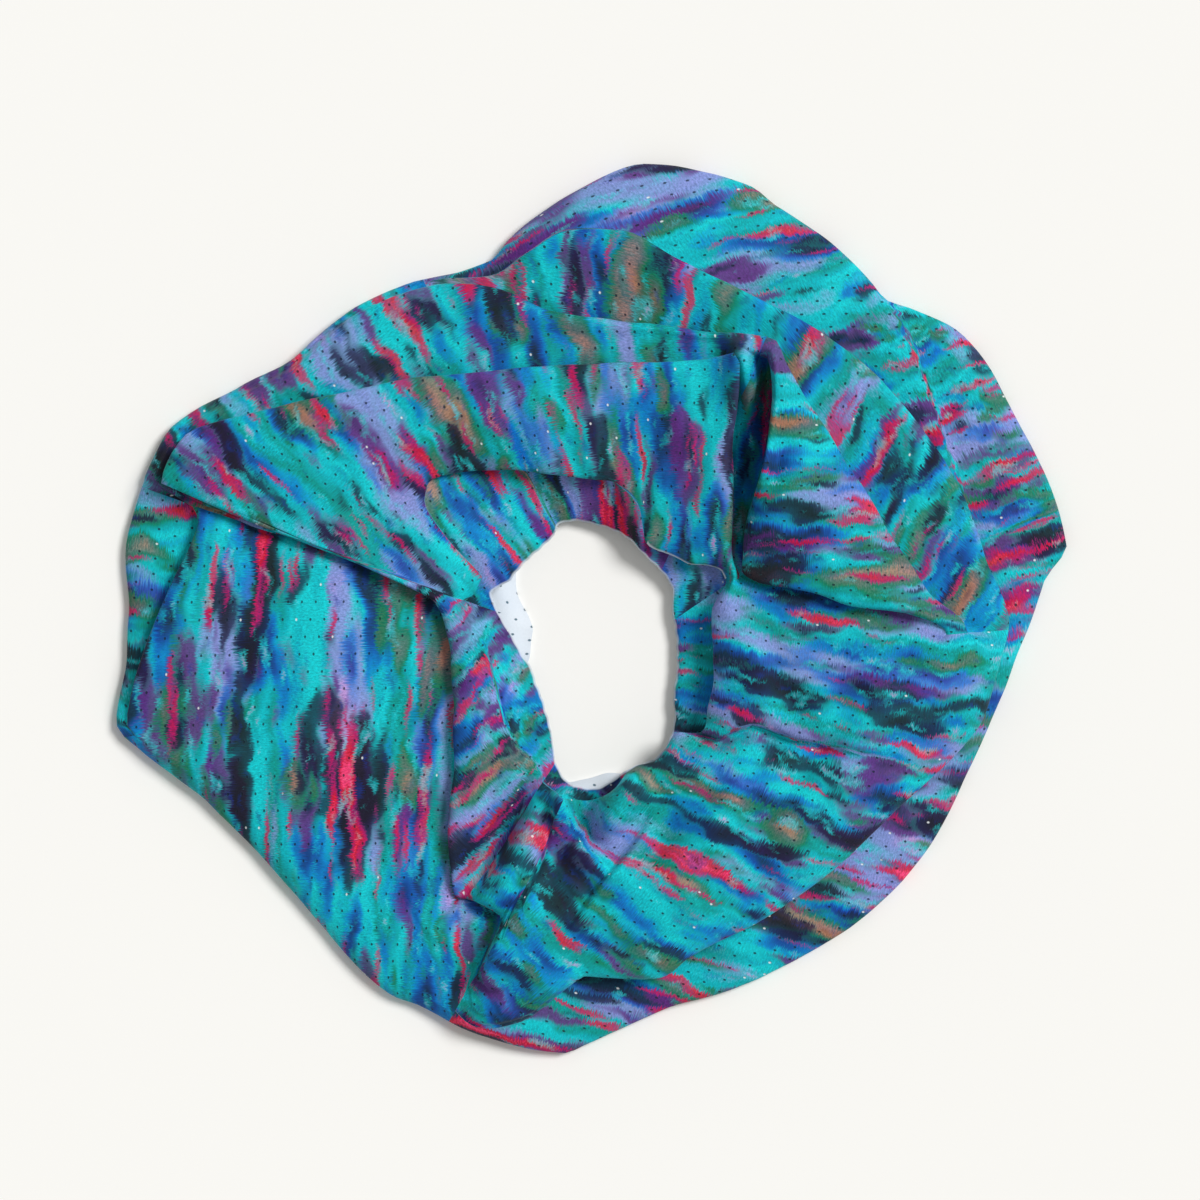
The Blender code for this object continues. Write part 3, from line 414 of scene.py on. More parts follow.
class RingSizes(bpy.types.PropertyGroup):
    """Sizes of the knit tube as it lies."""
    reach: metres("Reach", "Full reach of the ring from its middle", 0.150)
    loft: metres("Loft", "Height that the fold tables share out", 0.030)
    nose: metres("Fold nose", "Radius at which a fold turns", 0.0016)
    rim: metres("Rim round", "Radius at which the rim turns under", 0.0032)
    knit_wall: metres("Knit wall", "Thickness of the knit", 0.0007)
    layer_wall: metres("Layer wall", "Twice the height of the lowest layer over the floor", 0.001)
    ripple: bpy.props.FloatProperty(
        name="Ripple", description="Share by which soft ripples change the height", default=0.13,
        min=0.0, max=0.3, subtype="FACTOR")
    drift: metres("Drift", "Sideways waver of the folds", 0.0007)
    hole_across: metres("Hole step across", "Step between the holes of one row", 0.0041)
    hole_along: metres("Hole step along", "Step between the rows of holes", 0.0051)


def ink(name, text, red, green, blue):
    """A colour property of the print, given as screen values from 0 to 255."""
    linear = []
    for value in (red, green, blue):
        share = value / 255.0
        linear.append(share / 12.92 if share <= 0.04045 else ((share + 0.055) / 1.055) ** 2.4)
    return bpy.props.FloatVectorProperty(
        name=name, description=text, default=linear, size=3, min=0.0, max=1.0, subtype="COLOR")


class PrintColours(bpy.types.PropertyGroup):
    """Inks of the streaked print and the colours of the knit."""
    turquoise: ink("Turquoise", "Main ground of the print", 0, 176, 188)
    aqua: ink("Aqua", "Brightest ground", 10, 200, 206)
    teal: ink("Teal", "Greener ground", 0, 146, 136)
    azure: ink("Azure", "Sky blue streaks", 0, 112, 200)
    royal: ink("Royal", "Deep blue streaks", 14, 60, 158)
    dusk: ink("Dusk", "Near black streaks", 20, 22, 34)
    navy: ink("Navy", "Darkest streaks", 18, 24, 62)
    purple: ink("Purple", "Purple streaks", 92, 38, 120)
    lilac: ink("Lilac", "Grey lilac ground", 134, 142, 210)
    orchid: ink("Orchid", "Pale pink lilac", 196, 142, 206)
    magenta: ink("Magenta", "Magenta streaks", 176, 20, 104)
    red: ink("Red", "Red streaks", 206, 16, 42)
    pink: ink("Pink", "Hot pink spots", 246, 66, 120)
    ochre: ink("Ochre", "Brown and ochre streaks", 176, 122, 92)
    olive: ink("Olive", "Grey green streaks", 90, 106, 90)
    green: ink("Green", "Green streaks", 0, 122, 84)
    inside: ink("Inside", "Unprinted inside of the knit", 226, 234, 242)
    dot: ink("Dot", "Ink that shows through the holes inside", 20, 84, 104)
    floor: ink("Floor", "Pale floor", 250, 249, 245)


class Wire:
    """One shader value, so that shader maths reads as plain sums."""

    def __init__(self, kit, socket):
        self.kit = kit
        self.socket = socket

    def maths(self, operation, *others):
        values = dict(enumerate((self.socket, *others)))
        node = self.kit.node("ShaderNodeMath", {"operation": operation}, values)
        return Wire(self.kit, node.outputs[0])

    def turned(self, operation, other):
        node = self.kit.node("ShaderNodeMath", {"operation": operation}, {0: other, 1: self.socket})
        return Wire(self.kit, node.outputs[0])

    def __add__(self, other):
        return self.maths("ADD", other)

    def __radd__(self, other):
        return self.maths("ADD", other)

    def __sub__(self, other):
        return self.maths("SUBTRACT", other)

    def __rsub__(self, other):
        return self.turned("SUBTRACT", other)

    def __mul__(self, other):
        return self.maths("MULTIPLY", other)

    def __rmul__(self, other):
        return self.maths("MULTIPLY", other)

    def __truediv__(self, other):
        return self.maths("DIVIDE", other)

    def __rtruediv__(self, other):
        return self.turned("DIVIDE", other)

    def ramp(self, low, high):
        """Smooth step from 0 at low to 1 at high."""
        node = self.kit.node(
            "ShaderNodeMapRange", {"interpolation_type": "SMOOTHSTEP", "clamp": True},
            {"Value": self.socket, "From Min": low, "From Max": high, "To Min": 0.0, "To Max": 1.0})
        return Wire(self.kit, node.outputs["Result"])


class ShaderKit:
    """A new material and the one way its nodes are made."""

    def __init__(self, name):
        self.material = bpy.data.materials.new(name)
        self.material.use_nodes = True
        self.tree = self.material.node_tree
        self.shader = self.tree.nodes["Principled BSDF"]

    def node(self, kind, settings=None, sockets=None):
        """Add a node: its settings first, then the values or links of its sockets."""
        made = self.tree.nodes.new(kind)
        for key, value in (settings or {}).items():
            if key == "stops":
                self.colour_stops(made.color_ramp, value)
            else:
                setattr(made, key, value)
        for key, value in (sockets or {}).items():
            self.feed(made.inputs[key], value)
        return made

    def feed(self, socket, value):
        """Link a wire or a socket, or set a plain value."""
        if isinstance(value, Wire):
            value = value.socket
        if isinstance(value, bpy.types.NodeSocket):
            self.tree.links.new(value, socket)
        else:
            socket.default_value = value

    def cover(self, colour, roughness, relief):
        """Give the surface its colour, its roughness and its fine relief in metres."""
        bump = self.node("ShaderNodeBump", None, {
            "Strength": 0.6, "Distance": 1.0, "Height": relief})
        for name, value in (
                ("Base Color", colour), ("Roughness", roughness), ("Normal", bump.outputs[0])):
            self.feed(self.shader.inputs[name], value)

    def fix(self, values):
        """Set sockets that are the same all over the surface."""
        for name, value in values.items():
            self.shader.inputs[name].default_value = value

    def colour_stops(self, ramp, stops):
        """Fill a colour ramp with stops: place, colour, and how much of it shows."""
        while len(ramp.elements) > 1:
            ramp.elements.remove(ramp.elements[-1])
        for spot, (place, colour, *shown) in enumerate(stops):
            element = ramp.elements.new(place) if spot else ramp.elements[0]
            element.position = place
            element.color = (*colour, shown[0] if shown else 1.0)

    def wire(self, kind, settings=None, sockets=None, output=0):
        """Add a node and take one of its outputs as a value."""
        return Wire(self, self.node(kind, settings, sockets).outputs[output])

    def vector(self, x, y, z=0.0):
        return self.node("ShaderNodeCombineXYZ", None, {0: x, 1: y, 2: z}).outputs[0]

    def speckle(self, vector, detail=2.0, roughness=0.5):
        """Smooth noise over a vector whose unit is one feature."""
        return self.wire(
            "ShaderNodeTexNoise", {"noise_dimensions": "3D"},
            {"Vector": vector, "Scale": 1.0, "Detail": detail, "Roughness": roughness})

    def blend(self, share, under, over, mode="MIX"):
        """Mix two colours by a share."""
        made = self.node(
            "ShaderNodeMix", {"data_type": "RGBA", "blend_type": mode, "clamp_factor": True})
        self.feed(made.inputs["Factor"], share)
        colours = [slot for slot in made.inputs if slot.type == "RGBA"]
        for slot, value in zip(colours, (under, over)):
            if isinstance(value, tuple):
                value = (*value, 1.0)
            self.feed(slot, value)
        return [slot for slot in made.outputs if slot.type == "RGBA"][0]


def cloth_place(kit):
    """Metres across and along the streaks, distance from the hem, and number of the print piece."""
    wires = []
    for name in ("cloth", "edge"):
        spot = kit.node("ShaderNodeUVMap", {"uv_map": name}).outputs[0]
        parts = kit.node("ShaderNodeSeparateXYZ", None, {0: spot})
        wires.extend(Wire(kit, parts.outputs[part]) for part in (0, 1))
    return wires


def hole_pattern(kit, ring, across, along):
    """Perforations: distance from the nearest hole in metres and a random value for each hole."""
    line = along / ring.hole_along
    row = line.maths("FLOOR")
    step = across / ring.hole_across - row * HOLE_LEAN
    cell = step.maths("FLOOR")
    off_across = (step - cell - 0.5) * ring.hole_across
    off_along = (line - row - 0.5) * (ring.hole_along * HOLE_SQUASH)
    gap = (off_across * off_across + off_along * off_along).maths("SQRT")
    pick = kit.wire("ShaderNodeTexWhiteNoise", {"noise_dimensions": "2D"},
                    {"Vector": kit.vector(cell, row)})
    return gap, pick


def printed_knit(ring, inks):
    """Outside of the knit: soft streaks that bleed sideways, perforations with painted shade in
    most holes and painted light in a few, and a brushed fibre.
    """
    kit = ShaderKit("printed_knit")
    across, along, hem_gap, patch = cloth_place(kit)
    fibre = kit.speckle(kit.vector(across / 0.0010, along / 0.0005, patch), 3.0, 0.75)
    bleed = kit.speckle(kit.vector(across / 0.0045, along / 0.00032, patch * 7.0), 1.0)
    coarse = kit.speckle(kit.vector(across / 0.0160, along / 0.0110, patch * 3.0), 2.0, 0.5)
    ragged = across + (bleed - 0.5) * 0.0034 + (coarse - 0.5) * 0.0060
    hair = (bleed - 0.5) * 0.06 + (fibre - 0.5) * 0.08

    calm = kit.speckle(kit.vector(ragged / 0.030, along / 0.050, patch * 1.7 + 5.0), 1.0)

    def streaks(width, length, seed, detail=2.0, spread=0.0):
        return hair + (calm - 0.5) * spread + kit.speckle(
            kit.vector(ragged / width, along / length, patch * 2.3 + seed), detail, 0.5)

    def wash(under, value, stops):
        """Lay inks over another where the value is high, from their pale edge to their middle."""
        made = kit.node("ShaderNodeValToRGB", {"stops": [
            (place, getattr(inks, name), shown) for place, name, shown in stops]}, {0: value})
        return kit.blend(made.outputs["Alpha"], under, made.outputs["Color"])

    ground = streaks(0.0110, 0.060, 0.0)
    colour = kit.node("ShaderNodeValToRGB", {"stops": (
        (0.22, inks.azure), (0.34, inks.turquoise), (0.44, inks.aqua), (0.50, inks.turquoise),
        (0.57, inks.teal), (0.66, inks.turquoise), (0.76, inks.azure),
    )}, {0: ground}).outputs[0]
    for width, length, seed, detail, pull, stops in WASHES:
        colour = wash(colour, streaks(width, length, seed, detail, pull), stops)
    dabs = streaks(0.0030, 0.010, 111.0, 3.0)
    colour = wash(colour, dabs, LIGHT_DABS)
    colour = wash(colour, 1.0 - dabs, DARK_DABS)

    grain = 0.05 + fibre * 1.90
    colour = kit.blend(1.0, colour, kit.node("ShaderNodeCombineColor", None, {
        0: grain, 1: grain, 2: grain}).outputs[0], "MULTIPLY")
    gap, pick = hole_pattern(kit, ring, across, along)
    hole = 1.0 - gap.ramp(0.00018, 0.00042)
    lip = (1.0 - gap.ramp(0.00040, 0.00075)) * (1.0 - hole)
    light = pick.ramp(0.955, 0.96)
    # Painted shade: most holes get a near-black colour for the shadow seen through them, not a real
    # opening
    colour = kit.blend(hole * (1.0 - light) * 0.84, colour, (0.006, 0.018, 0.034))
    # Painted light: a few random holes get a near-white colour as if the lit white beneath shows
    # through
    colour = kit.blend(hole * light * 0.70, colour, (0.90, 0.95, 0.97))
    raw = 1.0 - hem_gap.ramp(0.0002, 0.0009)
    colour = kit.blend(raw * 0.75, colour, tuple(inks.inside))
    kit.cover(colour, 0.70 + fibre * 0.16, fibre * 0.00010 - hole * 0.00030 + lip * 0.00006)
    kit.fix({"Sheen Weight": 0.05, "Sheen Roughness": 0.45, "Specular IOR Level": 0.20})
    return kit.material


def plain_inside(ring, inks):
    """Inside of the knit: almost white, with the print showing at the holes."""
    kit = ShaderKit("white_inside")
    across, along, _, patch = cloth_place(kit)
    fibre = kit.speckle(kit.vector(across / 0.0006, along / 0.0006, patch), 3.0, 0.6)
    tint = kit.speckle(kit.vector(across / 0.012, along / 0.030, patch), 2.0)
    gap, _ = hole_pattern(kit, ring, across, along)
    hole = 1.0 - gap.ramp(0.00022, 0.00044)
    white = tuple(inks.inside)
    shade = kit.blend(tint.ramp(0.45, 0.75) * 0.35, white, (0.62, 0.72, 0.84))
    shade = kit.blend(fibre.ramp(0.3, 0.8) * 0.18, shade, (0.58, 0.64, 0.70))
    shade = kit.blend(hole * 0.85, shade, tuple(inks.dot))
    kit.cover(shade, 0.75 + fibre * 0.12, fibre * 0.00008 - hole * 0.00025)
    return kit.material


def frame_spot(pixel):
    """Place on the floor of one pixel of the frame, metres."""
    step = FRAME_SIDE / FRAME_PIXELS
    return ((pixel[0] - MIDDLE_PIXEL[0]) * step, (MIDDLE_PIXEL[1] - pixel[1]) * step)


def smooth_table(rows, angle):
    """Read a table of rows keyed by angle with a closed curve that never overshoots a row."""
    table = np.array(rows, dtype=float)
    keys = table[:, 0]
    last = len(keys) - 1
    place = angle % 360.0
    low = int(np.searchsorted(keys, place, side="right")) - 1

    def row(index):
        turns, spot = divmod(index, last + 1)
        return keys[spot] + 360.0 * turns, table[spot, 1:]

    (k0, v0), (k1, v1), (k2, v2), (k3, v3) = (row(low + step) for step in (-1, 0, 1, 2))
    if place < k1:
        place += 360.0
    span = k2 - k1
    share = (place - k1) / span
    chord = (v2 - v1) / span
    slope1 = limited_slope((v1 - v0) / (k1 - k0), chord)
    slope2 = limited_slope(chord, (v3 - v2) / (k3 - k2))
    h00 = 2 * share**3 - 3 * share**2 + 1
    h10 = share**3 - 2 * share**2 + share
    h01 = 3 * share**2 - 2 * share**3
    h11 = share**3 - share**2
    return h00 * v1 + h10 * span * slope1 + h01 * v2 + h11 * span * slope2


def limited_slope(first, second):
    """Harmonic mean of two slopes, none where they differ in sign."""
    same = first * second > 0
    total = np.where(same, first + second, 1.0)
    return np.where(same, 2.0 * first * second / total, 0.0)


def strip(points, start, end, steps, crown):
    """Add the cloth between two folds, arched by its crown."""
    for step in range(1, steps + 1):
        share = step / (steps + 1)
        reach = start[0] + (end[0] - start[0]) * share
        height = start[1] + (end[1] - start[1]) * share + crown * math.sin(math.pi * share)
        points.append((reach, height))


def fold_points(crest, depth, low, high, nose, facing):
    """Five points of one fold: turned under itself, a plain step, or opened to a slope."""
    side = 1.0 if facing == "inward" else -1.0
    shut = max(0.0, min(1.0, 0.5 * depth / nose))
    opened = max(0.0, min(1.0, -depth / nose))
    back = max(0.0, depth)
    width = max(nose, -depth)
    turned = (
        (back, 0.0), (back, 0.33 + 0.17 * shut), (nose * shut, 0.62 - 0.12 * shut),
        (0.0, 0.85 - 0.10 * shut), (nose, 1.0),
    )
    slope = ((-1.0, 0.0), (-0.5, 0.16), (0.0, 0.5), (0.5, 0.84), (1.0, 1.0))
    points = []
    for (out, level), (share, rise) in zip(turned, slope):
        reach = crest + side * (out + (share * width - out) * opened)
        height = low + (high - low) * (level + (rise - level) * opened)
        points.append((reach, height))
    return points if facing == "inward" else points[::-1]


def section_points(ring, angle):
    """Reach and height of the cloth along one section, from the upper hem to the lower hem."""
    hem_reach, hem_height = smooth_table(UPPER_HEM, angle)
    points = [(hem_reach * ring.reach, hem_height * ring.loft)]
    crown = 0.0
    folds = (
        (INNER_FOLD, "inward", 1), (CUFF_FOLD, "outward", 3), (FLAP_FOLD, "inward", 1),
        (BAND_FOLD, "outward", 2), (PANEL_FOLD, "outward", 1),
    )
    values = [(hem_reach,)]
    values.extend(smooth_table(rows, angle) for rows, facing, steps in folds)
    rim_reach, rim_height = smooth_table(RIM, angle)
    values.append((rim_reach,))
    for spot, (rows, facing, steps) in enumerate(folds):
        reach, tuck, lower, upper, next_crown = values[spot + 1]
        crest = reach * ring.reach
        room = min(reach - values[spot][0], values[spot + 2][0] - reach) * ring.reach
        nose = min(ring.nose, 0.35 * room)
        depth = tuck * ring.reach
        fold = fold_points(crest, depth, lower * ring.loft, upper * ring.loft, nose, facing)
        strip(points, points[-1], fold[0], steps, crown)
        points.extend(fold)
        crown = next_crown * ring.loft
    rim = rim_reach * ring.reach
    bend = min(ring.rim, 0.6 * (rim - values[-2][0] * ring.reach))
    top = rim_height * ring.loft
    floor = 0.5 * ring.layer_wall
    strip(points, points[-1], (rim - bend, top), 2, crown)
    points.append((rim - 0.45 * bend, floor + 0.80 * (top - floor)))
    points.append((rim, floor + 0.42 * (top - floor)))
    points.append((rim - 0.45 * ring.rim, floor))
    lower_hem = smooth_table(LOWER_HEM, angle)[0] * ring.reach
    strip(points, (rim - 0.45 * ring.rim, floor), (lower_hem, floor), 2, 0.0)
    points.append((lower_hem, floor))
    return points


def spline_weights(points):
    """Weights of a smooth open spline over the section's points, and the place of each sample."""
    rows, places = [], []
    for step, count in enumerate(FINE_STEPS):
        for part in range(count + (step == len(FINE_STEPS) - 1)):
            places.append(step + part / count)
    for place in places:
        first = min(int(place), points - 2)
        t = place - first
        weights = (
            (1 - t) ** 3 / 6, (3 * t**3 - 6 * t * t + 4) / 6,
            (-3 * t**3 + 3 * t * t + 3 * t + 1) / 6, t**3 / 6,
        )
        row = np.zeros(points)
        for offset, weight in zip((-1, 0, 1, 2), weights):
            spot = first + offset
            if spot < 0:
                row[0] += 2 * weight
                row[1] -= weight
            elif spot > points - 1:
                row[-1] += 2 * weight
                row[-2] -= weight
            else:
                row[spot] += weight
        rows.append(row)
    return np.array(rows), np.array(places)


def fine_angles():
    """Stations of the fine sheet, closer where the folds turn."""
    angles = []
    ends = list(SECTION_ANGLES) + [360.0]
    for low, high in zip(ends, ends[1:]):
        count = max(2, round((high - low) / 1.22))
        angles.extend(low + (high - low) * part / count for part in range(count))
    return np.array(angles)


def swept(angles, reach, full):
    """Turn the stations a little where the folds lean away from a straight ray."""
    total = angles + 0.0 * reach
    for middle, spread, start, turn in SWEEPS:
        away = (angles - middle + 180.0) % 360.0 - 180.0
        share = np.maximum(0.0, (reach / full - start) / (1.0 - start))
        total = total + turn * np.exp(-((away / spread) ** 2)) * share
    return np.radians(total)


def dent_factor(ring, x, y):
    """Share of the height that the broad dents and ridges leave at each place."""
    factor = np.ones_like(x)
    for angle, reach, heading, half_length, half_width, amount in DENTS:
        ray, way = math.radians(angle), math.radians(heading)
        dx = x / ring.reach - reach * math.cos(ray)
        dy = y / ring.reach - reach * math.sin(ray)
        along = (dx * math.cos(way) + dy * math.sin(way)) / half_length
        across = (dy * math.cos(way) - dx * math.sin(way)) / half_width
        factor += amount * np.exp(-along * along - across * across)
    return factor


def along_line(x, y, pixels):
    """Distance from a line of frame pixels, offset to its left, and share of its length run."""
    spots = [frame_spot(pixel) for pixel in pixels]
    total = sum(math.dist(a, b) for a, b in zip(spots, spots[1:]))
    nearest = np.full_like(x, 1e9)
    offset, run = np.zeros_like(x), np.zeros_like(x)
    done = 0.0
    for (ax, ay), (bx, by) in zip(spots, spots[1:]):
        length = math.dist((ax, ay), (bx, by))
        share = ((x - ax) * (bx - ax) + (y - ay) * (by - ay)) / length**2
        share = np.clip(share, 0.0, 1.0)
        gap = np.hypot(x - ax - share * (bx - ax), y - ay - share * (by - ay))
        cross = ((y - ay) * (bx - ax) - (x - ax) * (by - ay)) / length
        closer = gap < nearest
        nearest = np.where(closer, gap, nearest)
        offset = np.where(closer, cross, offset)
        run = np.where(closer, (done + share * length) / total, run)
        done += length
    return nearest, offset, run


def crease_factor(x, y):
    """Share of the height that the narrow creases leave at each place."""
    factor = np.ones_like(x)
    for width, amount, pixels in CREASES:
        gap, _, run = along_line(x, y, pixels)
        # A crease is strongest halfway along
        strength = np.sin(np.pi * np.clip(0.12 + 0.76 * run, 0.0, 1.0))
        factor += amount * strength * np.exp(-((gap / width) ** 2))
    return factor


def layer_steps(x, y):
    """Share of the height that the layer edges leave at each place, and shift of the print."""
    factor, shift = np.ones_like(x), np.zeros_like(x)
    for fade, amount, turn, pixels in LAYER_EDGES:
        gap, offset, run = along_line(x, y, pixels)
        side = np.tanh(-offset / EDGE_SOFTNESS)
        # A layer's edge fades out towards its last pixel
        strength = np.cos(0.5 * np.pi * run**2)
        factor += 0.5 * amount * side * strength * np.exp(-gap / fade)
        shift += 0.5 * turn * side * strength * np.exp(-((gap / (1.2 * fade)) ** 2))
    return factor, shift


def layered_noise(place, layers):
    """Sum of a few layers of noise at one place."""
    return sum(share * noise.noise(place * scale + start) for share, scale, start in layers)


def ripples(x, y):
    """Soft random ripples, and sideways wavers, at each place."""
    places = [Vector((px, py, 0.0)) for px, py in zip(x.ravel(), y.ravel())]
    lift = np.array([layered_noise(place, RIPPLE) for place in places])
    side = np.array([[layered_noise(place, layers) for layers in WAVER] for place in places])
    return lift.reshape(x.shape), side.reshape(x.shape + (2,))


def sheet_places(ring, angles):
    """Places of the fine sheet, station by station from the upper hem to the lower hem."""
    coarse = np.array([section_points(ring, angle) for angle in angles])
    weights, places = spline_weights(coarse.shape[1])
    fine = np.einsum("rk,skc->src", weights, coarse)
    reach, height = fine[..., 0], fine[..., 1]
    scallop = SCALLOP * np.sin(2 * math.pi * np.cumsum(reach[:, 0] * np.gradient(
        np.radians(angles))) / ring.hole_across)
    reach = reach + scallop[:, None] * np.clip(1.0 - places, 0.0, 1.0)
    ray = swept(angles[:, None], reach, ring.reach)
    x, y = reach * np.cos(ray), reach * np.sin(ray)
    dents = dent_factor(ring, x, y)
    x = x - 0.5 * (x.min() + x.max())
    y = y - 0.5 * (y.min() + y.max())
    lift, side = ripples(x, y)
    floor = 0.5 * ring.layer_wall
    steps, shift = layer_steps(x, y)
    pressed = dents * steps * crease_factor(x, y) * (1.0 + ring.ripple * lift)
    height = floor + (height - floor) * pressed
    top = PRESSED_ABOVE * ring.loft
    height = np.where(height > top, top + PRESSED_REST * (height - top), height)
    # The upper hem wavers least
    drift = ring.drift * np.clip(0.25 + places / 6.0, 0.25, 1.0)
    x = x + drift * side[..., 0]
    y = y + drift * side[..., 1]
    return np.stack((x, y, height), axis=-1), places, shift


def covered(sheet):
    """True where another part of the same section lies over the cloth."""
    reach = np.hypot(sheet[..., 0] - sheet[..., 0].mean(), sheet[..., 1] - sheet[..., 1].mean())
    height = sheet[..., 2]
    low = np.minimum(reach[:, :-1], reach[:, 1:])[:, None, :]
    high = np.maximum(reach[:, :-1], reach[:, 1:])[:, None, :]
    top = 0.5 * (height[:, :-1] + height[:, 1:])[:, None, :]
    spot = reach[:, :, None]
    return ((spot > low) & (spot < high) & (top > height[:, :, None] + LAYER_GAP)).any(axis=2)


def streak_headings(angles, places):
    """Heading of the streaks, in degrees, and number of the print piece at each place."""
    table = np.array(STREAKS)
    strips = np.searchsorted(STRIP_ENDS, places - 1e-9)
    strips = np.minimum(strips, table.shape[1] - 2)
    columns = [np.interp(angles, table[:, 0], table[:, 1 + spot], period=360.0)
               for spot in range(table.shape[1] - 1)]
    starts = np.array([row[0] for row in PATCHES])
    block = np.searchsorted(starts, angles, side="right") - 1
    numbers = np.array([row[1:] for row in PATCHES])
    return np.stack([columns[spot] for spot in strips], axis=1), numbers[block][:, strips]


def laid_print(sheet, angles, places):
    """Flatten the sheet so that the streaks follow their headings with little stretch."""
    heading, patch = streak_headings(angles, places)
    seen = np.where(covered(sheet), COVERED_HOLD, 1.0)

    def wished(step, turn):
        flat = np.hypot(step[..., 0], step[..., 1])
        full = np.sqrt((step**2).sum(axis=-1))
        scale = np.minimum(full / np.maximum(flat, 1e-7), 3.0)
        angle = np.radians(90.0 - turn)
        x, y = step[..., 0] * scale, step[..., 1] * scale
        way = np.stack((x * np.cos(angle) - y * np.sin(angle),
                        x * np.sin(angle) + y * np.cos(angle)), axis=-1)
        return way, full

    next_station = np.roll(sheet, -1, axis=0)
    across, wide = wished(sheet[:, 1:] - sheet[:, :-1], 0.5 * (heading[:, 1:] + heading[:, :-1]))
    round_turn = 0.5 * (heading + np.roll(heading, -1, axis=0))
    around, long = wished(next_station - sheet, round_turn)
    jump_across = np.abs(heading[:, 1:] - heading[:, :-1]) > HEADING_JUMP
    cut = np.abs(np.roll(heading, -1, axis=0) - heading) > HEADING_JUMP
    cut |= np.roll(patch, -1, axis=0) != patch
    row_wide = np.concatenate((wide[:, :1], 0.5 * (wide[:, 1:] + wide[:, :-1]), wide[:, -1:]), 1)
    weight_across = np.minimum(seen[:, 1:], seen[:, :-1]) * np.clip(
        0.5 * (long[:, 1:] + long[:, :-1]) / np.maximum(wide, 1e-6), 0.2, 8.0)
    weight_across = np.where(jump_across, JUMP_HOLD, weight_across)[..., None]
    weight_around = np.minimum(seen, np.roll(seen, -1, axis=0)) * np.clip(
        row_wide / np.maximum(long, 1e-6), 0.05, 4.0)
    weight_around = np.where(cut, 0.0, weight_around)[..., None]

    def gathered(step_across, step_around):
        total = np.zeros_like(sheet[..., :2])
        total[:, 1:] += step_across
        total[:, :-1] -= step_across
        return total + np.roll(step_around, 1, axis=0) - step_around

    def pulled(lay):
        return 1e-7 * lay + gathered(
            weight_across * (lay[:, 1:] - lay[:, :-1]),
            weight_around * (np.roll(lay, -1, axis=0) - lay))

    # Conjugate gradients ease the print until its stretch is least
    lay = sheet[..., :2].copy()
    rest = gathered(weight_across * across, weight_around * around) - pulled(lay)
    stiff = np.zeros_like(lay)
    stiff[:, 1:] += weight_across
    stiff[:, :-1] += weight_across
    stiff += weight_around + np.roll(weight_around, 1, axis=0) + 1e-7
    eased = rest / stiff
    way = eased.copy()
    power = (rest * eased).sum()
    start = power
    for _ in range(EASING_ROUNDS):
        moved = pulled(way)
        share = power / (way * moved).sum()
        lay += share * way
        rest -= share * moved
        eased = rest / stiff
        fresh = (rest * eased).sum()
        if fresh < 1e-12 * start:
            break
        way = eased + (fresh / power) * way
        power = fresh
    return lay, around, cut, patch


def knit_tube(ring):
    """Mesh of the fine sheet with its print map and its edge map."""
    angles = fine_angles()
    sheet, places, shift = sheet_places(ring, angles)
    lay, around, cut, patch = laid_print(sheet, angles, places)
    patch = patch + shift
    stations, rows = sheet.shape[:2]
    run = np.concatenate((np.zeros((stations, 1)), np.cumsum(
        np.linalg.norm(sheet[:, 1:] - sheet[:, :-1], axis=2), axis=1)), axis=1)
    hem_gap = np.minimum(run, run[:, -1:] - run)
    cuff_hem = np.argmin(np.abs(places - CUFF_HEM_PLACE))
    cuffed = (angles > CUFF_HEM_ANGLES[0]) & (angles < CUFF_HEM_ANGLES[1])
    hem_gap = np.where(cuffed[:, None], np.minimum(
        hem_gap, np.abs(run - run[:, cuff_hem, None])), hem_gap)

    # A flat grid of stations and rows takes the places of the sheet
    body = bmesh.new()
    bmesh.ops.create_grid(body, x_segments=rows - 1, y_segments=stations, size=0.5)
    if len(body.verts) != rows * (stations + 1):
        raise RuntimeError("the grid has another number of points than the sheet")
    for vert in body.verts:
        row = round((vert.co.x + 0.5) * (rows - 1))
        station = round((vert.co.y + 0.5) * stations)
        vert.co = sheet[station % stations, row]
    mesh = bpy.data.meshes.new("printed_tube")
    body.to_mesh(mesh)
    body.free()

    # Each face's corners keep to one piece of the print, also where the print is cut
    corners = np.empty(len(mesh.loops), dtype=np.int64)
    mesh.loops.foreach_get("vertex_index", corners)
    corners = corners.reshape(-1, 4)
    row, station = corners % rows, corners // rows
    near = station.min(axis=1, keepdims=True)
    here = lay[station % stations, row]
    carried = lay[near % stations, row] + around[near % stations, row]
    split = cut[near % stations, row].any(axis=1, keepdims=True) & (station > near)
    here = np.where(split[..., None], carried, here)
    pieces = np.where(split, patch[near % stations, row], patch[station % stations, row])
    edge = np.stack((hem_gap[station % stations, row], pieces), axis=-1)
    mesh.uv_layers.new(name="cloth").data.foreach_set("uv", here.ravel().astype(np.float32))
    mesh.uv_layers.new(name="edge").data.foreach_set("uv", edge.ravel().astype(np.float32))

    # The grid's first and last stations are joined into a ring
    body = bmesh.new()
    body.from_mesh(mesh)
    body.verts.ensure_lookup_table()
    ends = body.verts[:rows] + body.verts[-rows:]
    bmesh.ops.remove_doubles(body, verts=ends, dist=1e-7)
    for face in body.faces:
        face.smooth = True
    body.to_mesh(mesh)
    body.free()
    return mesh


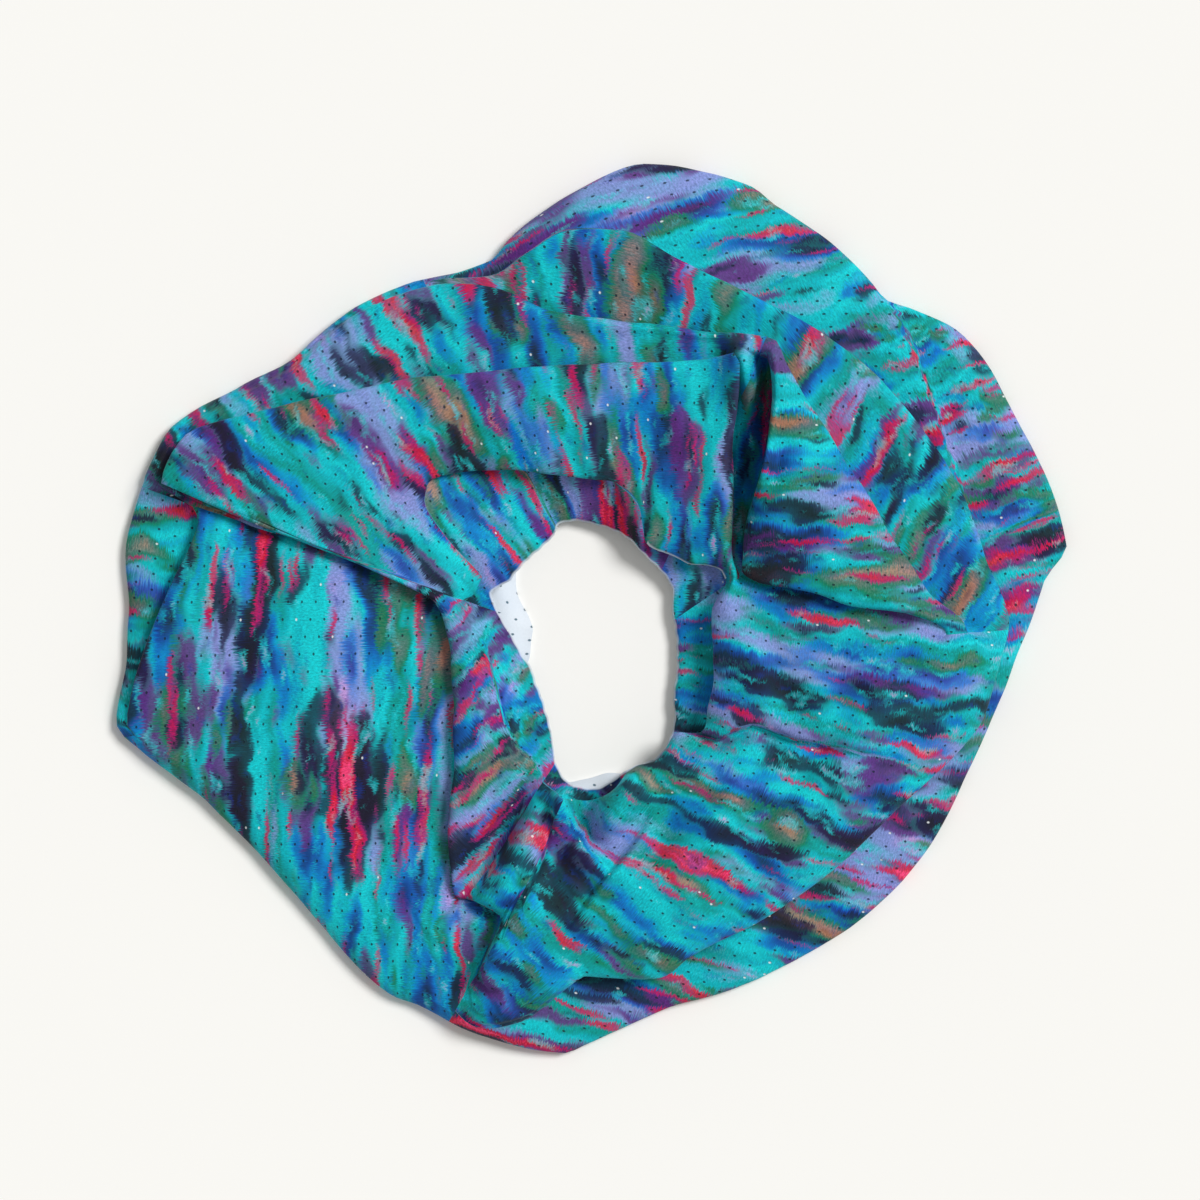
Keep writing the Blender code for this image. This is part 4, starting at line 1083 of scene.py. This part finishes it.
class MakeTube(bpy.types.Operator):
    """Make the printed knit tube in place of the plain solid"""
    bl_idname = "neck_ring.make_tube"
    bl_label = "Knit tube"

    def execute(self, context):
        ring = context.scene.ring_sizes
        inks = context.scene.print_colours
        tube = bpy.data.objects.new("printed_tube", knit_tube(ring))
        context.scene.collection.objects.link(tube)
        tube.data.materials.append(printed_knit(ring, inks))
        tube.data.materials.append(plain_inside(ring, inks))
        wall = tube.modifiers.new("knit wall", "SOLIDIFY")
        wall.thickness = ring.knit_wall
        wall.offset = 0.0
        wall.use_rim = True
        wall.material_offset = 1
        wall.material_offset_rim = 1
        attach(tube, "root")
        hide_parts("neck_tube")
        return {"FINISHED"}


class MakeStage(bpy.types.Operator):
    """Make the pale floor, the soft light and the camera straight above"""
    bl_idname = "neck_ring.make_stage"
    bl_label = "Studio stage"

    def execute(self, context):
        scene = context.scene
        inks = scene.print_colours
        body = bmesh.new()
        bmesh.ops.create_grid(body, x_segments=4, y_segments=4, size=3.0)
        mesh = bpy.data.meshes.new("studio_floor")
        body.to_mesh(mesh)
        body.free()
        floor = bpy.data.objects.new("studio_floor", mesh)
        scene.collection.objects.link(floor)
        kit = ShaderKit("pale_floor")
        kit.fix({
            "Base Color": (*inks.floor, 1.0), "Roughness": 0.9, "Specular IOR Level": 0.1})
        mesh.materials.append(kit.material)

        world = bpy.data.worlds.new("soft_studio")
        world.use_nodes = True
        sky = world.node_tree.nodes["Background"]
        sky.inputs["Color"].default_value = (1.0, 0.995, 0.985, 1.0)
        sky.inputs["Strength"].default_value = SKY_STRENGTH
        scene.world = world
        lamp = bpy.data.lights.new("window_light", "SUN")
        lamp.energy = SUN_STRENGTH
        lamp.angle = math.radians(SUN_WIDTH)
        sun = bpy.data.objects.new("window_light", lamp)
        way = Vector(SUN_DIRECTION)
        sun.rotation_euler = way.to_track_quat("Z", "Y").to_euler()
        sun.location = way
        scene.collection.objects.link(sun)

        eye = bpy.data.cameras.new("camera")
        eye.sensor_width = SENSOR_WIDTH
        eye.lens = SENSOR_WIDTH * CAMERA_HEIGHT / FRAME_SIDE
        camera = bpy.data.objects.new("camera", eye)
        middle = frame_spot((FRAME_PIXELS / 2, FRAME_PIXELS / 2))
        camera.location = (*middle, CAMERA_HEIGHT)
        scene.collection.objects.link(camera)
        scene.camera = camera
        scene.view_settings.view_transform = "Standard"
        return {"FINISHED"}


class NeckRingPanel(bpy.types.Panel):
    """Sizes, colours and steps of the neck ring"""
    bl_idname = "VIEW3D_PT_neck_ring"
    bl_label = "Neck ring"
    bl_space_type = "VIEW_3D"
    bl_region_type = "UI"
    bl_category = "Neck ring"

    def draw(self, context):
        column = self.layout.column()
        for group in (context.scene.ring_sizes, context.scene.print_colours):
            for name in group.bl_rna.properties.keys():
                if name not in ("rna_type", "name"):
                    column.prop(group, name)
        column.operator(MakeTube.bl_idname)
        column.operator(MakeStage.bl_idname)


CLASSES = (RingSizes, PrintColours, MakeTube, MakeStage, NeckRingPanel)


def register():
    for item in CLASSES:
        bpy.utils.register_class(item)
    bpy.types.Scene.ring_sizes = bpy.props.PointerProperty(type=RingSizes)
    bpy.types.Scene.print_colours = bpy.props.PointerProperty(type=PrintColours)


def unregister():
    del bpy.types.Scene.print_colours
    del bpy.types.Scene.ring_sizes
    for item in reversed(CLASSES):
        bpy.utils.unregister_class(item)


def main():
    register()
    bpy.ops.neck_ring.make_stage()
    bpy.ops.neck_ring.make_tube()


if __name__ == "__main__":
    main()
